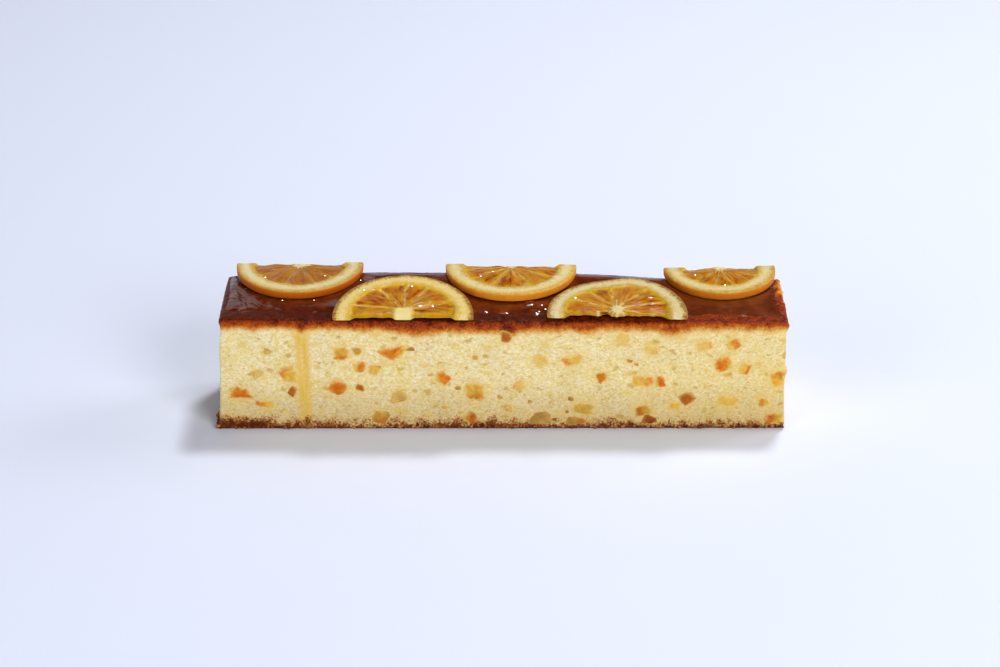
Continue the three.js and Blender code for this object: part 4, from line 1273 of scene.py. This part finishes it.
def crumb_lumps():
    """Lumps strewn round the foot: small balls, each stretched its own way and roughened by noise, set
    where the foot meets what it stands on. Gives their points, and how toasted each point is."""
    rows, columns = CRUMB_STEPS
    tip = np.linspace(-math.pi / 2, math.pi / 2, rows + 2)[1:-1, None]
    turn = np.linspace(0, 2 * math.pi, columns, endpoint=False)[None, :]
    ball = np.broadcast_arrays(np.cos(tip) * np.cos(turn), np.cos(tip) * np.sin(turn), np.sin(tip))
    ball = np.concatenate([np.stack(ball, axis=-1).reshape(-1, 3), [[0, 0, -1], [0, 0, 1]]])
    number = np.arange(CRUMB_COUNT)
    size = blend(*CRUMB_SIZES, chance(number, 1) ** 2.5)[:, None]
    stretch = np.stack([blend(*CRUMB_STRETCH, chance(number, k)) for k in (2, 3, 4)], axis=-1) * size
    base = bar_points[CRUMB_ROW]
    column = (chance(number, 5) * len(base)).astype(int)
    height = size[:, 0] * CRUMB_LIFT + CRUMB_CLIMB * chance(number, 6) ** 3
    spot = np.stack([base[column, 0], base[column, 1], height], axis=-1)
    lumps = ball[None] * stretch[:, None]
    rough = 1 + layered_noise(lumps + number[:, None, None] * CRUMB_GAP, CRUMB_ROUGH)
    return spot[:, None] + lumps * rough[..., None], np.repeat(chance(number, 7), len(ball))


def toasted_crumb():
    """Loose crumb: matte, from gold to nearly black as it was near to the tin or away from it."""
    material, tree = new_material("toasted_crumb")
    toast = add(tree, "Attribute", None, "Fac", attribute_name="toast")
    place = add(tree, "TexCoord", out="Object")
    grain = add(tree, "TexNoise", {"Vector": place, "Scale": 1 / (0.5 * MM), "Detail": 2.0})
    mixed = add(tree, "Math", {0: grain, 1: 0.6, 2: toast}, operation="MULTIPLY_ADD")
    toast_stops = [(0.25, "#40190a"), (0.65, "#84451a"), (1.0, "#b47a3c")]
    colour = add(tree, "ValToRGB", {"Fac": mixed}, stops=toast_stops)
    finish = {"Base Color": colour, "Roughness": 0.85, "IOR": 1.4}
    add(tree, "OutputMaterial", {"Surface": add(tree, "BsdfPrincipled", finish)})
    return material


lump_points, lump_toast = crumb_lumps()
lump_faces = copied_faces(capped_faces(*CRUMB_STEPS), lump_points)
piece("foot_crumbs", lump_points, lump_faces, toasted_crumb(), "crumb", toast=lump_toast)

# The floor: a wide, plain sheet of pale matte paper, laid flat under the bar for the picture. It isn't
# part of the cake.
FLOOR_HALF = 6000.0
floor_mesh = bpy.data.meshes.new("floor")
floor_corners = np.array([[-1, -1, 0], [1, -1, 0], [1, 1, 0], [-1, 1, 0]]) * FLOOR_HALF * MM
floor_mesh.from_pydata(floor_corners.tolist(), [], [[0, 1, 2, 3]])
floor_material, floor_tree = new_material("pale_paper")
floor_finish = {"Base Color": "#e9eeff", "Roughness": 0.9}
add(floor_tree, "OutputMaterial", {"Surface": add(floor_tree, "BsdfPrincipled", floor_finish)})
floor_mesh.materials.append(floor_material)
floor = bpy.data.objects.new("floor", floor_mesh)
bpy.context.scene.collection.objects.link(floor)

# The light: soft boxes in front on both sides, high up at the back, beside the right end and, faintly,
# low at the back on the left. The room is pale along the floor and dim above.
LIGHTS = {
    "right": {"place": (900, -1400, 1000), "size": 900, "power": 21.0, "colour": (1.0, 1.0, 1.0)},
    "left": {"place": (-1100, -1100, 700), "size": 900, "power": 7.2, "colour": (0.96, 0.98, 1.0)},
    "above": {"place": (350, 600, 1500), "size": 260, "power": 13.5, "colour": (0.97, 0.98, 1.0)},
    "beside": {"place": (1700, 600, 900), "size": 900, "power": 13.0, "colour": (0.95, 0.97, 1.0)},
    "window": {"place": (-700, 1500, 750), "size": 1000, "power": 2.4, "colour": (0.95, 0.97, 1.0)},
}
AIM = np.array([0, 0, 40])
ROOM = [(0.17, "#e6ecff"), (0.33, "#2e3136"), (0.7, "#2e3136")]  # by how far up one looks
ROOM_STRENGTH = 0.75
for name, light in LIGHTS.items():
    lamp = bpy.data.lights.new(name, "AREA")
    lamp.size = light["size"] * MM
    lamp.energy = light["power"]
    lamp.color = light["colour"]
    holder = bpy.data.objects.new(name, lamp)
    holder.location = np.array(light["place"]) * MM
    holder.rotation_euler = Vector(AIM - light["place"]).to_track_quat("-Z", "Y").to_euler()
    bpy.context.scene.collection.objects.link(holder)

world = bpy.data.worlds.new("studio")
bpy.context.scene.world = world
world.use_nodes = True
world_tree = world.node_tree
world_tree.nodes.clear()
direction = add(world_tree, "TexCoord", out="Generated")
height = add(world_tree, "SeparateXYZ", {"Vector": direction}, "Z")
room = add(world_tree, "ValToRGB", {"Fac": height}, stops=ROOM)
sky = add(world_tree, "Background", {"Color": room, "Strength": ROOM_STRENGTH})
add(world_tree, "OutputWorld", {"Surface": sky})
bpy.context.scene.view_settings.view_transform = "Standard"
